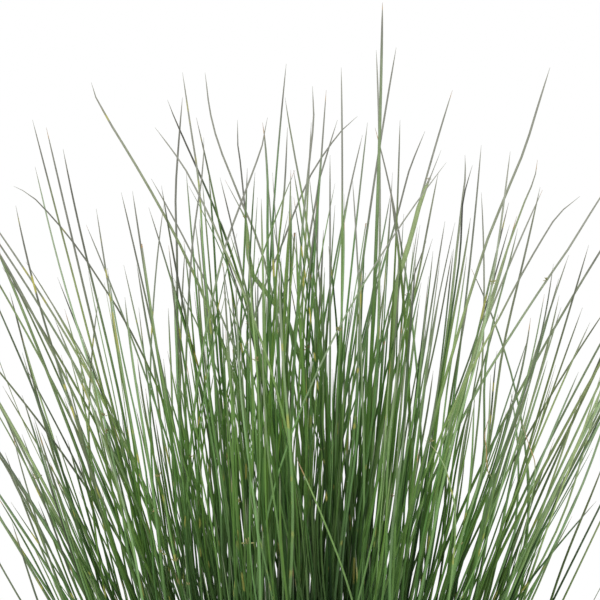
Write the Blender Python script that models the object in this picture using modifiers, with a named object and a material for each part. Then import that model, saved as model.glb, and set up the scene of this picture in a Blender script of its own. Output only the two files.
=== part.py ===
"""Potted rush clump: a plain nursery pot, its potting mix, and the tufts that make up the clump.

Metres in Blender, +Z up, origin at the middle of the pot's base on the ground. The clump is seen from the
front along +Y. Sizes below are in millimetres, and heights of stems are measured from the potting mix.
A tuft is one living piece: a short rootstock whose six top facets grow into tapering stems.
"""
import math
import random

import bmesh
import bpy
import numpy as np
from mathutils import Vector

MM = 0.001
GAP = 0.35                 # clearance between pieces that touch
WALL_GAP = 0.45            # the same between the pot's sloping wall and the mix
TURN_STEPS = 36            # facets round the pot and the potting mix

# Pot
POT_HEIGHT = 200.0
BASE_RADIUS = 79.0
SHOULDER_RADIUS = 101.0
SHOULDER_HEIGHT = 172.0
RIM_RADIUS = 110.5
RIM_DEPTH = 10.0
WALL = 2.4
FLOOR = 3.0
DRAIN_HOLES = 6
DRAIN_RADIUS = 5.5
DRAIN_HEIGHT = 5.5         # height at which a drainage hole's axis meets the wall
DRAIN_SLOPE = -0.35
DRAIN_SIDES = 10
CUTTER_LENGTH = 30.0
COLLAR = 4.5               # how far the band under the lip stands out from the wall

# Potting mix
MIX_TOP = 178.0
CROWN_FLAT = 84.0          # radius of the level part that the tufts stand on
MIX_EDGE_DROP = 5.0        # how much lower the mix is at the pot's wall
MIX_LUMP = 1.6

# Clump
TUFTS = 56
STEMS_PER_TUFT = 6
CROWN_RADIUS = 71.0
STOCK_FOOT = 7.4           # rootstock radius at the mix
STOCK_TOP = 6.6
STOCK_HEIGHT = 10.0
ROOT_RING = 3.9            # how far a stem's root is from the rootstock's middle
STEM_FOOT = 3.6            # usual stem thickness low down
NEEDLE = (0.12, 0.46, 0.78)   # where a stem's rings lie, as shares of its height
HOOKED = (0.12, 0.56, 0.86)   # the same for a stem whose tip bends over
TAPER = (1.0, 0.90, 0.64)     # thickness at those rings, as shares of the foot
TRIANGLE_FIT = 0.62        # a three-sided stem's corner radius for a stem 1 thick
FAN_WIDTH = 215.0          # half the fan's width where it is widest
LANDING = 0.3              # how far a foot goes by where its stem's own line lands
CROWN_OPENS = 200.0        # height at which the fan of tufts is twice as wide as the crown
TUFT_OPENS = 75.0          # height at which the stems of a tuft stand twice as far apart
FAN_LOW = 50.0             # up to here a stem keeps its place in the fan
FAN_HIGH = 260.0           # from here up it follows its own path
LEADERLESS = 85.0          # how far forward or back a tuft's stems stop following leading stems
LEADER_ARCH = 0.25         # how much of a leading stem's reach in depth comes from its arch
EYE_DISTANCE = 4000.0      # the front view that the leading stems are given in: how far off the eye is,
EYE_HEIGHT = 504.0         # and how high above the mix
FUSED_BELOW = 62.0         # lower than this, the stems of one tuft may touch
DEPTH_COST = 0.45          # what makes a tuft less fit for a leading stem: standing far forward or back,
CROWD_COST = 8.0           # having leading stems already,
SPREAD_COST = 0.8          # and having their tips farther apart than FREE_SPREAD
FREE_SPREAD = 30.0
CLEAR = 0.5                # room wanted between two stems
WIDTH_SHARE = 0.7          # share of each stem's thickness kept free round its axis, lean included
LOWEST_LEVEL = 24.0        # room between stems is measured from here up, every LEVEL_STEP
HIGHEST_LEVEL = 760.0
LEVEL_STEP = 7.0
TRIES = 200                # places that a stem tries before it takes the roomiest of them
ROOT_SHIFT = 0.05          # how far up its lean a stem is when its root is chosen
TIP_SPREAD = 2.2           # tips of one tuft stand this many times farther apart than its roots
TUFT_REACH = 62.0          # most that a shorter stem's tip is from a leading stem of its tuft
FILLER_TOP = 640.0         # a shorter stem's height is a share of its leading stem's, or of this
FILLER_ARCH = (-0.5, 0.15) # how a shorter stem arches: below 0 it straightens up toward its tip
SHEATH_WIDTH = 1.25        # thickness at a stem's foot, for the room it needs
GOLDEN_ANGLE = math.pi * (3 - math.sqrt(5))
STEM_SEED = 11
MIX_SEED = 5

STEM_TINTS = ((0.125, 0.215, 0.085), (0.15, 0.24, 0.10), (0.105, 0.19, 0.085), (0.17, 0.25, 0.115))

# Leading stems, which give the clump its outline, as they stand in the front view: how far the tip is to
# the right of the middle and above the mix, the same for a point lower down, thickness, and tip bend
# (2 is an even arch, and more keeps the stem straight until it bends near its tip).
LEADERS = (
    # left side
    (-214, 648, -185, 536, 3.0, 2), (-203, 642, -178, 536, 3.2, 2), (-229, 595, -160, 519, 2.8, 6),
    (-167, 678, -90, 536, 4.2, 2), (-171, 564, -145, 500, 2.8, 2), (-163, 577, -150, 495, 2.8, 2),
    (-143, 590, -120, 490, 3.0, 2), (-134, 591, -121, 505, 3.2, 2), (-121, 578, -98, 503, 3.0, 2),
    (-109, 580, -118, 490, 2.6, 2), (-119, 601, -82, 532, 3.0, 2), (-94, 666, -98, 535, 3.4, 2),
    (-94, 686, -80, 560, 3.2, 2), (-106, 664, -62, 562, 3.2, 3), (-116, 642, -64, 552, 3.0, 3),
    (-91, 606, -86, 548, 2.8, 2), (-83, 650, -62, 552, 3.0, 3),
    (-278, 602, -186, 462, 3.2, 2), (-266, 600, -206, 457, 4.4, 2), (-270, 566, -172, 385, 3.2, 2),
    (-274, 486, -165, 345, 3.0, 2), (-194, 522, -170, 460, 2.6, 2), (-207, 516, -176, 460, 2.8, 2),
    (-141, 532, -126, 466, 2.6, 2), (-129, 498, -122, 440, 2.6, 2), (-161, 506, -168, 440, 2.6, 2),
    (-220, 451, -185, 385, 2.8, 2), (-176, 466, -170, 400, 2.6, 2), (-284, 500, -195, 330, 3.6, 2),
    (-296, 512, -185, 320, 4.2, 2), (-230, 397, -205, 310, 2.8, 2), (-302, 462, -180, 285, 3.4, 2),
    (-300, 430, -205, 270, 3.2, 2), (-292, 386, -222, 262, 2.8, 2), (-316, 452, -222, 320, 3.4, 2),
    (-304, 416, -212, 288, 3.6, 2), (-290, 452, -188, 300, 3.4, 2), (-288, 402, -202, 268, 3.4, 2),
    # middle
    (-76, 686, -33, 552, 3.4, 3), (-77, 634, -86, 552, 2.8, 2), (-64, 602, -52, 552, 2.8, 2),
    (-50, 648, -42, 556, 3.0, 2), (-26, 650, -58, 554, 3.2, 2), (-30, 646, -26, 552, 4.2, 2),
    (-11, 693, -22, 560, 3.2, 2), (-12, 666, 2, 588, 3.0, 2), (-10, 642, -17, 552, 3.2, 2),
    (-4, 608, -20, 568, 2.6, 2), (-36, 606, -39, 560, 2.8, 2), (-60, 600, -43, 566, 3.6, 2),
    (10, 675, 2, 564, 3.4, 2), (21, 672, 14, 572, 3.2, 2), (9, 646, 7, 604, 2.8, 2),
    (30, 648, 10, 566, 3.2, 3), (46, 651, -13, 552, 3.0, 3), (33, 690, 34, 568, 3.2, 2),
    (24, 620, 24, 560, 2.8, 2), (-5, 586, 2, 540, 2.6, 2), (40, 592, 30, 536, 2.8, 2),
    # right of the middle
    (66, 742, 62, 584, 4.8, 2), (61, 704, 64, 600, 3.4, 2), (77, 706, 57, 584, 3.4, 2),
    (60, 642, 74, 584, 3.0, 2), (100, 639, 82, 584, 3.2, 2), (122, 672, 96, 584, 3.6, 2),
    (113, 624, 97, 560, 3.8, 2), (80, 648, 78, 584, 3.0, 2), (54, 646, 47, 584, 3.0, 2),
    (50, 636, 38, 584, 3.0, 2), (132, 620, 126, 552, 4.2, 2), (138, 612, 131, 560, 3.0, 2),
    (145, 628, 138, 552, 3.2, 2), (145, 590, 147, 540, 2.8, 2),
    # right side
    (200, 690, 150, 552, 3.8, 2), (190, 616, 168, 552, 3.2, 2), (194, 592, 173, 545, 3.0, 2),
    (224, 587, 159, 489, 3.0, 3), (252, 604, 146, 439, 3.6, 2), (167, 582, 152, 520, 3.4, 2),
    (137, 529, 172, 433, 3.0, 2), (231, 548, 205, 460, 3.2, 2), (264, 580, 172, 424, 3.6, 2),
    (207, 521, 190, 460, 3.0, 2), (226, 498, 205, 440, 2.8, 2), (183, 475, 170, 436, 2.6, 2),
    (272, 482, 200, 345, 3.8, 2), (262, 506, 185, 330, 3.4, 2), (237, 343, 193, 291, 3.0, 2),
    (288, 434, 202, 264, 3.0, 2), (276, 404, 210, 264, 2.8, 2), (212, 365, 190, 300, 3.0, 2),
    (284, 528, 196, 372, 4.0, 2), (274, 508, 190, 330, 3.6, 2), (292, 518, 188, 318, 3.8, 2),
    (268, 494, 178, 290, 3.4, 2), (286, 548, 214, 420, 3.4, 2), (298, 500, 204, 340, 3.4, 2),
)


def clear_scene():
    for thing in list(bpy.data.objects):
        bpy.data.objects.remove(thing, do_unlink=True)


def new_collection(name):
    collection = bpy.data.collections.new(name)
    bpy.context.scene.collection.children.link(collection)
    return collection


def material(name, colour, roughness, metallic=0.0):
    made = bpy.data.materials.new(name)
    made.use_nodes = True
    shader = made.node_tree.nodes["Principled BSDF"]
    shader.inputs["Base Color"].default_value = (*colour, 1.0)
    shader.inputs["Roughness"].default_value = roughness
    shader.inputs["Metallic"].default_value = metallic
    return made


def object_from(bm, name, collection, finish):
    mesh = bpy.data.meshes.new(name)
    bm.to_mesh(mesh)
    bm.free()
    made = bpy.data.objects.new(name, mesh)
    made.data.materials.append(finish)
    collection.objects.link(made)
    return made


# ---------------------------------------------------------------- pot and potting mix

def turned(name, profile, collection, finish):
    """Turn a profile of (radius, height) points round Z; it runs down the outer side."""
    bm = bmesh.new()
    points = [bm.verts.new((radius * MM, 0.0, height * MM)) for radius, height in profile]
    for start, end in zip(points, points[1:]):
        bm.edges.new((start, end))
    made = object_from(bm, name, collection, finish)
    screw = made.modifiers.new("Turn", "SCREW")
    screw.axis = "Z"
    screw.steps = screw.render_steps = TURN_STEPS
    screw.use_merge_vertices = True
    screw.merge_threshold = 0.0001
    screw.use_smooth_shade = False
    return made


def pot_inner_radius(height):
    """Radius of the pot's inner wall, below its shoulder."""
    share = (height - FLOOR) / (SHOULDER_HEIGHT - FLOOR)
    foot = BASE_RADIUS - WALL
    return foot + (SHOULDER_RADIUS - WALL - foot) * share


def make_pot(collection, cutters):
    finish = material("Pot plastic", (0.018, 0.019, 0.018), 0.5)
    lip = POT_HEIGHT - RIM_DEPTH
    collar = SHOULDER_RADIUS + COLLAR
    profile = (
        (0.0, FLOOR), (pot_inner_radius(FLOOR), FLOOR),
        (pot_inner_radius(SHOULDER_HEIGHT), SHOULDER_HEIGHT),
        (collar - WALL - 1.4, SHOULDER_HEIGHT + 5.0), (collar - WALL, POT_HEIGHT - 1.2),
        (collar - WALL + 1.4, POT_HEIGHT), (RIM_RADIUS - 1.4, POT_HEIGHT),
        (RIM_RADIUS, POT_HEIGHT - 1.6), (RIM_RADIUS, lip + 0.8), (RIM_RADIUS - 1.0, lip),
        (collar - 0.4, lip), (collar - 1.4, SHOULDER_HEIGHT + 4.0), (SHOULDER_RADIUS, SHOULDER_HEIGHT),
        (BASE_RADIUS, 2.5), (BASE_RADIUS - 2.0, 0.0), (0.0, 0.0),
    )
    pot = turned("pot", profile, collection, finish)
    bm = bmesh.new()
    for number in range(DRAIN_HOLES):
        angle = 2 * math.pi * (number + 0.5) / DRAIN_HOLES
        outward = Vector((math.cos(angle), math.sin(angle), DRAIN_SLOPE)).normalized()
        hole = bmesh.ops.create_cone(bm, cap_ends=True, segments=DRAIN_SIDES, depth=CUTTER_LENGTH * MM,
                                     radius1=DRAIN_RADIUS * MM, radius2=DRAIN_RADIUS * MM)["verts"]
        turn = outward.to_track_quat("Z", "Y").to_matrix()
        place = Vector((math.cos(angle), math.sin(angle), 0.0)) * BASE_RADIUS * MM
        bmesh.ops.rotate(bm, verts=hole, cent=(0, 0, 0), matrix=turn)
        bmesh.ops.translate(bm, verts=hole, vec=place + Vector((0, 0, DRAIN_HEIGHT * MM)))
    cutter = object_from(bm, "drain_cutter", cutters, finish)
    cutter.hide_render = True
    cutter.display_type = "WIRE"
    cut = pot.modifiers.new("Drain holes", "BOOLEAN")
    cut.operation = "DIFFERENCE"
    cut.solver = "EXACT"
    cut.object = cutter
    return pot


def make_potting_mix(collection):
    rng = random.Random(MIX_SEED)
    finish = material("Potting mix", (0.045, 0.03, 0.02), 0.95)
    floor = FLOOR + GAP
    edge_height = MIX_TOP - MIX_EDGE_DROP
    shoulder = pot_inner_radius(SHOULDER_HEIGHT) - WALL_GAP
    profile = (
        (0.0, MIX_TOP), (CROWN_FLAT, MIX_TOP), (CROWN_FLAT + 5.0, MIX_TOP - 0.5),
        (CROWN_FLAT + 10.0, MIX_TOP - 2.0), (shoulder, edge_height), (shoulder, SHOULDER_HEIGHT),
        (pot_inner_radius(floor) - WALL_GAP, floor), (0.0, floor),
    )
    outline = turned("mix_outline", profile, collection, finish)
    graph = bpy.context.evaluated_depsgraph_get()
    mesh = bpy.data.meshes.new_from_object(outline.evaluated_get(graph))
    bpy.data.objects.remove(outline, do_unlink=True)
    mesh.name = "potting_mix"
    for vertex in mesh.vertices:
        radius = math.hypot(vertex.co.x, vertex.co.y) / MM
        if CROWN_FLAT + 1.0 < radius < shoulder - 1.0 and vertex.co.z / MM > edge_height:
            vertex.co.z += rng.uniform(-MIX_LUMP, MIX_LUMP) * MM
    made = bpy.data.objects.new("potting_mix", mesh)
    collection.objects.link(made)
    return made


# ---------------------------------------------------------------- how the stems stand

class Stem:
    """One stem's path. Above the crown, x and y grow with the share t of its height as
    side + lean*t + bend*t**power; near its foot it stands in its own place in the fan of all the stems."""

    def __init__(self, place, root, tip, height, thickness, arch=0.5):
        self.place, self.root, self.height = place, root, height
        self.thickness, self.powers = thickness, [2, 2]
        reach = (tip[0] - root[0], tip[1] - root[1])
        self.bend = [arch * side for side in reach]
        self.lean = [side - bend for side, bend in zip(reach, self.bend)]

    def pass_through(self, x, height, power):
        """Bend the stem, side to side only, so that it passes x at this height; its tip stays."""
        share = (height - STOCK_HEIGHT) / (self.height - STOCK_HEIGHT)
        reach = self.lean[0] + self.bend[0]
        self.bend[0] = ((x - self.root[0]) - share * reach) / (share ** power - share)
        self.lean[0] = reach - self.bend[0]
        self.powers[0] = power

    def at(self, share):
        height = STOCK_HEIGHT + (self.height - STOCK_HEIGHT) * share
        free = min(1.0, max(0.0, (height - FAN_LOW) / (FAN_HIGH - FAN_LOW)))
        free = free * free * (3 - 2 * free)
        above = height - STOCK_HEIGHT
        path = []
        for middle, start, lean, bend, power in zip(self.place, self.root, self.lean, self.bend, self.powers):
            fan = middle * (1 + above / CROWN_OPENS) + (start - middle) * (1 + above / TUFT_OPENS)
            far = start + lean * share + bend * share ** power
            path.append(fan + (far - fan) * free)
        return Vector((*path, height))

    def shares(self):
        return NEEDLE if self.powers[0] < 4 else HOOKED

    def trace(self, levels):
        """Where the faceted stem is at each height, and how thick; no number above its tip."""
        stops = (0.0, *self.shares(), 1.0)
        places = [self.at(share) for share in stops]
        heights = [place.z for place in places]
        widths = [self.thickness * size for size in (SHEATH_WIDTH, *TAPER, 0.0)]
        x = np.interp(levels, heights, [place.x for place in places], right=np.nan)
        y = np.interp(levels, heights, [place.y for place in places], right=np.nan)
        width = np.interp(levels, heights, widths, right=np.nan)
        return np.stack((x, y, width))


def crown_places():
    """Centres of the tufts, spread evenly over the crown in a sunflower pattern."""
    for number in range(TUFTS):
        radius = CROWN_RADIUS * math.sqrt((number + 0.5) / TUFTS)
        angle = number * GOLDEN_ANGLE
        yield radius * math.cos(angle), radius * math.sin(angle)


def foot_of(leader):
    """Where a leading stem's foot is, side to side: partly where its easing line comes down to, and partly
    the place in the crown that matches its place in the fan."""
    tip_x, tip_z, mid_x, mid_z = leader[:4]
    slope = (tip_x - mid_x) / (tip_z - mid_z)
    eased = 0.5 * mid_z + 0.5 * mid_z ** 2 / (tip_z + mid_z)
    landing = max(-1.0, min(1.0, (mid_x - slope * eased) / CROWN_RADIUS))
    return CROWN_RADIUS * (LANDING * landing + (1 - LANDING) * mid_x / FAN_WIDTH)


def share_out_leaders(places):
    """Give each leading stem to the tuft under its foot, so that no tuft gets many or spreads wide."""
    taken = [[] for _ in places]
    for leader in sorted(LEADERS, key=lambda row: -abs(foot_of(row))):
        foot = foot_of(leader)

        def cost(number):
            spread = max((abs(leader[0] - other[0]) for other in taken[number]), default=0.0)
            x, y = places[number]
            return (abs(x - foot) + DEPTH_COST * abs(y) + CROWD_COST * len(taken[number])
                    + SPREAD_COST * max(0.0, spread - FREE_SPREAD))

        taken[min(range(len(places)), key=cost)].append(leader)
    return taken


def clearance(trace, placed, tuft, levels):
    """Least room, over all heights, between a stem of this tuft and the stems already standing."""
    if not placed:
        return 100.0
    others = np.stack([other for _, other in placed])
    apart = np.hypot(others[:, 0] - trace[0], others[:, 1] - trace[1])
    room = apart - WIDTH_SHARE * (others[:, 2] + trace[2])
    own = np.array([number == tuft for number, _ in placed])
    room[np.ix_(own, levels < FUSED_BELOW)] = np.nan
    return float(np.nanmin(room)) if np.isfinite(room).any() else 100.0


def roots_of(place):
    """The six places on a rootstock where stems grow."""
    for side in range(STEMS_PER_TUFT):
        angle = 2 * math.pi * (side + 0.5) / STEMS_PER_TUFT
        yield place[0] + ROOT_RING * math.cos(angle), place[1] + ROOT_RING * math.sin(angle)


def natural_tip(place, rng):
    """Tip of a stem that no leader guides: it leans out in the way its place in the crown gives."""
    reach = rng.uniform(3.1, 4.5)
    height = rng.uniform(420, 620) - 1.1 * math.hypot(*place)
    return place[0] * reach, place[1] * reach, height


def as_seen(x, height, depth):
    """Where a point of the front view is, when it stands this far behind the middle of the clump."""
    nearness = 1 + depth / EYE_DISTANCE
    return x * nearness, EYE_HEIGHT + (height - EYE_HEIGHT) * nearness


def nearest_root(tuft, tip):
    """The free root on the side of the rootstock that the stem leans to."""
    x, y = tuft["place"]
    toward = (x + ROOT_SHIFT * (tip[0] - x), y + ROOT_SHIFT * (tip[1] - y))
    return min(tuft["free"], key=lambda root: math.dist(root, toward))


def leading_stem(tuft, leader, attempt, rng):
    """A stem that stands as its leader says in the front view; its depth is free."""
    tip_x, tip_z, mid_x, mid_z, thickness, power = leader
    depth = tuft["depth"] + rng.uniform(-1, 1) * (6.0 + 0.7 * attempt)
    tip_x, tip_z = as_seen(tip_x, tip_z, depth)
    tip = (tip_x, depth)
    stem = Stem(tuft["place"], nearest_root(tuft, tip), tip, tip_z, thickness, LEADER_ARCH)
    mid_depth = stem.at(mid_z / tip_z).y
    stem.pass_through(*as_seen(mid_x, mid_z, mid_depth), power)
    return stem


def kept_near(tip, height, guide, rng):
    """The tip, drawn in to within TUFT_REACH of where the guide is at this height."""
    beside = guide.at(min(1.0, (height - STOCK_HEIGHT) / (guide.height - STOCK_HEIGHT)))
    away = math.dist(tip, (beside.x, beside.y))
    if away <= TUFT_REACH:
        return tip
    kept = rng.uniform(0.7, 1.0) * TUFT_REACH / away
    return beside.x + (tip[0] - beside.x) * kept, beside.y + (tip[1] - beside.y) * kept


def filling_stem(tuft, guides, attempt, rng):
    """A shorter stem that leans much as one of its tuft's leading stems does."""
    x, y = tuft["place"]
    root = tuft["free"][0]
    wander = 12.0 + 0.3 * attempt
    guide = rng.choice(guides) if guides else None
    if guide and rng.random() > abs(y) / LEADERLESS:
        share = rng.uniform(0.66, 0.98) * min(1.0, FILLER_TOP / guide.height)
        top = guide.at(1.0)
        lean = share * (0.5 + 0.5 * share)
        tip_x, tip_y, height = x + (top.x - x) * lean, y + (tuft["depth"] - y) * lean, guide.height * share
    else:
        tip_x, tip_y, height = natural_tip(tuft["place"], rng)
    tip = (tip_x + TIP_SPREAD * (root[0] - x) + rng.uniform(-wander, wander),
           tip_y + TIP_SPREAD * (root[1] - y) + rng.uniform(-wander, wander))
    if guide:
        tip = kept_near(tip, height, guide, rng)
    thickness = STEM_FOOT * rng.uniform(0.72, 1.1)
    return Stem(tuft["place"], root, tip, height, thickness, rng.uniform(*FILLER_ARCH))


def grow_clump(rng):
    """All stems, tuft by tuft. Each keeps clear of those before it; leaders grow first."""
    places = list(crown_places())
    leaders = share_out_leaders(places)
    levels = np.arange(LOWEST_LEVEL, HIGHEST_LEVEL, LEVEL_STEP)
    placed = []
    tufts = [{"place": place, "stems": [], "free": list(roots_of(place)),
              "depth": place[1] * rng.uniform(2.7, 4.1) + rng.uniform(-30, 30)} for place in places]

    def settle(number, propose, needed):
        """Keep the first proposed stem with room enough; one that isn't needed goes if it would touch."""
        best_room = -math.inf
        for attempt in range(TRIES):
            stem = propose(attempt)
            trace = stem.trace(levels)
            room = clearance(trace, placed, number, levels)
            if room > best_room:
                best_room, best, best_trace = room, stem, trace
            if room > CLEAR:
                break
        tufts[number]["free"].remove(best.root)
        if needed or best_room > 0.0:
            tufts[number]["stems"].append(best)
            placed.append((number, best_trace))

    for number, tuft in enumerate(tufts):
        for leader in leaders[number]:
            settle(number, lambda attempt: leading_stem(tuft, leader, attempt, rng), True)
    for number, tuft in enumerate(tufts):
        guides = list(tuft["stems"])
        while tuft["free"]:
            settle(number, lambda attempt: filling_stem(tuft, guides, attempt, rng), False)
    return tufts


# ---------------------------------------------------------------- tufts as solids

def make_tuft(name, tuft, collection, finish):
    """A six-sided rootstock; each top facet that carries a stem is drawn out along it to a needle."""
    x, y = tuft["place"]
    bm = bmesh.new()
    stock = bmesh.ops.create_cone(bm, cap_ends=True, segments=STEMS_PER_TUFT, radius1=STOCK_FOOT,
                                  radius2=STOCK_TOP, depth=STOCK_HEIGHT - GAP)["verts"]
    bmesh.ops.translate(bm, verts=stock, vec=(x, y, MIX_TOP + (STOCK_HEIGHT + GAP) / 2))
    bm.faces.ensure_lookup_table()
    top = max(bm.faces, key=lambda face: face.calc_center_median().z)
    facets = bmesh.ops.poke(bm, faces=[top])["faces"]
    for stem in tuft["stems"]:
        root = Vector((stem.root[0], stem.root[1], MIX_TOP + STOCK_HEIGHT))
        face = min((facet for facet in facets if facet.is_valid),
                   key=lambda facet: (facet.calc_center_median() - root).length)
        facets.remove(face)
        middle = face.calc_center_median()
        corners = [(loop.vert.co - middle).normalized() for loop in face.loops]
        shares = stem.shares()
        for share, size in zip(shares, TAPER):
            here, ahead = stem.at(share), stem.at(share + 0.04)
            tilt = Vector((0, 0, 1)).rotation_difference(ahead - here)
            face = bmesh.ops.extrude_discrete_faces(bm, faces=[face])["faces"][0]
            radius = stem.thickness * TRIANGLE_FIT * size
            for loop, corner in zip(face.loops, corners):
                loop.vert.co = here + Vector((0, 0, MIX_TOP)) + tilt @ corner * radius
        face = bmesh.ops.extrude_discrete_faces(bm, faces=[face])["faces"][0]
        tip = stem.at(1.0) + Vector((0, 0, MIX_TOP))
        bmesh.ops.pointmerge(bm, verts=list(face.verts), merge_co=tip)
    bmesh.ops.scale(bm, verts=bm.verts, vec=(MM, MM, MM))
    return object_from(bm, name, collection, finish)


def main():
    clear_scene()
    clump = new_collection("Potted rush clump")
    cutters = new_collection("Cutters")
    make_pot(clump, cutters)
    make_potting_mix(clump)
    tints = [material(f"Rush stems {number + 1}", colour, 0.45) for number, colour in enumerate(STEM_TINTS)]
    for number, tuft in enumerate(grow_clump(random.Random(STEM_SEED))):
        make_tuft(f"tuft_{number + 1:02d}", tuft, clump, tints[number % len(tints)])


main()
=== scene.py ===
"""Potted rush clump, dressed round its frame: several hundred stems with brown sheaths at their feet, a few
loose stems in front, small flower tufts, bark chips on the potting mix, and a turned nursery pot.

Sizes are in millimetres unless a name says otherwise, and the model is in metres.
"""
import functools
import math
import random

import bmesh
import bpy
import numpy as np
from bpy.props import FloatProperty, FloatVectorProperty, IntProperty, PointerProperty
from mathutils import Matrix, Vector, noise


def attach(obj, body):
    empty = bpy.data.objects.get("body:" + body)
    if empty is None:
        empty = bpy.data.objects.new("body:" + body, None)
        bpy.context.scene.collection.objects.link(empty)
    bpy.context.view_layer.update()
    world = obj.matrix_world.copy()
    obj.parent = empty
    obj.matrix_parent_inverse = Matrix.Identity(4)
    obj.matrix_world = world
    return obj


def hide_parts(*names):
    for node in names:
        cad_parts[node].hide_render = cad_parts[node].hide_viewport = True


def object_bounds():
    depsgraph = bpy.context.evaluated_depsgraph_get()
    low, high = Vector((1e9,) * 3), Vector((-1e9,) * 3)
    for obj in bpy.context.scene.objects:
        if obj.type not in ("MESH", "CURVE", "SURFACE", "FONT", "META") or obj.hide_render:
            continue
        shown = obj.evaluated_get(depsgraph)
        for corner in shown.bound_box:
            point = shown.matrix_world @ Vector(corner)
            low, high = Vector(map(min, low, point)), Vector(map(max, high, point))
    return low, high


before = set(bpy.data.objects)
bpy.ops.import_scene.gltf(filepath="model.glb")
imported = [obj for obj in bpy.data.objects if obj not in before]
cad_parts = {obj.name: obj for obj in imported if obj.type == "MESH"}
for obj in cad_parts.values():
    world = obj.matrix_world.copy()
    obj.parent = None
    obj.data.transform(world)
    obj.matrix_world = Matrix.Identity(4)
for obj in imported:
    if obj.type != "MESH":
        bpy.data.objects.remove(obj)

bl_info = {
    "name": "Potted rush clump",
    "version": (1, 0, 0),
    "blender": (4, 5, 0),
    "location": "3D View > Sidebar > Rush clump",
    "description": "Builds a clump of rushes in a nursery pot, stem by stem",
    "category": "Object",
}

CAD_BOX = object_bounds()
MM = 0.001

# ---- sizes shared with the part's source

GAP = 0.35  # room between the pot's floor and the mix
WALL_GAP = 0.45  # room between the pot's wall and the mix

POT_HEIGHT = 200.0
BASE_RADIUS = 79.0
SHOULDER_RADIUS = 101.0
SHOULDER_HEIGHT = 172.0
RIM_RADIUS = 110.5
RIM_DEPTH = 10.0
WALL = 2.4
FLOOR = 3.0
DRAIN_HOLES = 6
DRAIN_RADIUS = 5.5
DRAIN_HEIGHT = 5.5
DRAIN_SLOPE = -0.35
CUTTER_LENGTH = 30.0
COLLAR = 4.5  # how far the collar above the shoulder stands out

MIX_TOP = 178.0
CROWN_FLAT = 84.0  # radius to which the mix is level
MIX_EDGE_DROP = 5.0

TUFTS = 56
STEMS_PER_TUFT = 6
CROWN_RADIUS = 71.0  # of the circle that the tufts fill
STOCK_FOOT = 7.4  # radius of a rootstock
STOCK_HEIGHT = 10.0
ROOT_RING = 3.9  # radius at which stems grow from a rootstock
STEM_FOOT = 3.6  # thickness of a usual stem
NEEDLE = (0.12, 0.46, 0.78)  # shares of its height at which a stem's solid has rings
HOOKED = (0.12, 0.56, 0.86)  # the same for a stem that hooks over at its tip
TAPER = (1.0, 0.90, 0.64)  # share of its thickness that a stem has there
FAN_WIDTH = 215.0  # half the fan's width, at the height of the leading stems' second points
LANDING = 0.3  # how far a leading stem's own line says where its foot is
CROWN_OPENS = 200.0  # height over which the crown of stems opens to twice its width
TUFT_OPENS = 75.0  # the same for the stems of one tuft
FAN_LOW = 50.0  # height at which a stem begins to leave its place in the fan
FAN_HIGH = 260.0  # height from which it keeps its own line
LEADERLESS = 85.0  # how far before or behind the middle no stem follows a guide
LEADER_ARCH = 0.25
DEPTH_WANDER = (6.0, 0.7)  # how far a leading stem may stand before or behind its tuft, and more for each try
TUFT_DEPTH = (2.7, 4.1)  # how many times deeper than its foot the tips of a tuft stand
TUFT_SHIFT = 30.0
EYE_DISTANCE = 4000.0  # from the eye of the front view to the middle of the clump
EYE_HEIGHT = 504.0  # of that eye above the mix
FUSED_BELOW = 62.0  # height below which the stems of one tuft may touch
DEPTH_COST = 0.45  # what it counts against a tuft, as a leading stem's, to stand far before or behind,
CROWD_COST = 8.0  # to have other leading stems,
SPREAD_COST = 0.8  # and to spread wider than FREE_SPREAD
FREE_SPREAD = 30.0
CLEAR = 0.5  # room that ends the search for a stem's place
WIDTH_SHARE = 0.7  # share of the thickness of two stems that they need from middle to middle
NO_NEIGHBOUR = 100.0
LOWEST_LEVEL = 24.0
HIGHEST_LEVEL = 760.0
LEVEL_STEP = 7.0
TRIES = 200
ROOT_SHIFT = 0.05
TIP_SPREAD = 2.2  # how many times wider than its roots a tuft's tips stand
TUFT_REACH = 62.0  # how far from its guide a filling stem may end
FILLER_TOP = 640.0
FILLER_ARCH = (-0.5, 0.15)
FILLER_WANDER = (12.0, 0.3)
FILLER_SHARE = (0.66, 0.98)  # of its guide's height
FILLER_SIZE = (0.72, 1.1)  # of a usual stem's thickness
NATURAL_REACH = (3.1, 4.5)  # how many times farther out than its foot an unguided stem's tip is
NATURAL_HEIGHT = (420, 620)
NATURAL_LOSS = 1.1  # how much lower it is for each millimetre from the middle
SHEATH_WIDTH = 1.25  # a sheath's thickness, in its stem's
GOLDEN_ANGLE = math.pi * (3 - math.sqrt(5))
STEM_SEED = 11

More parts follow.
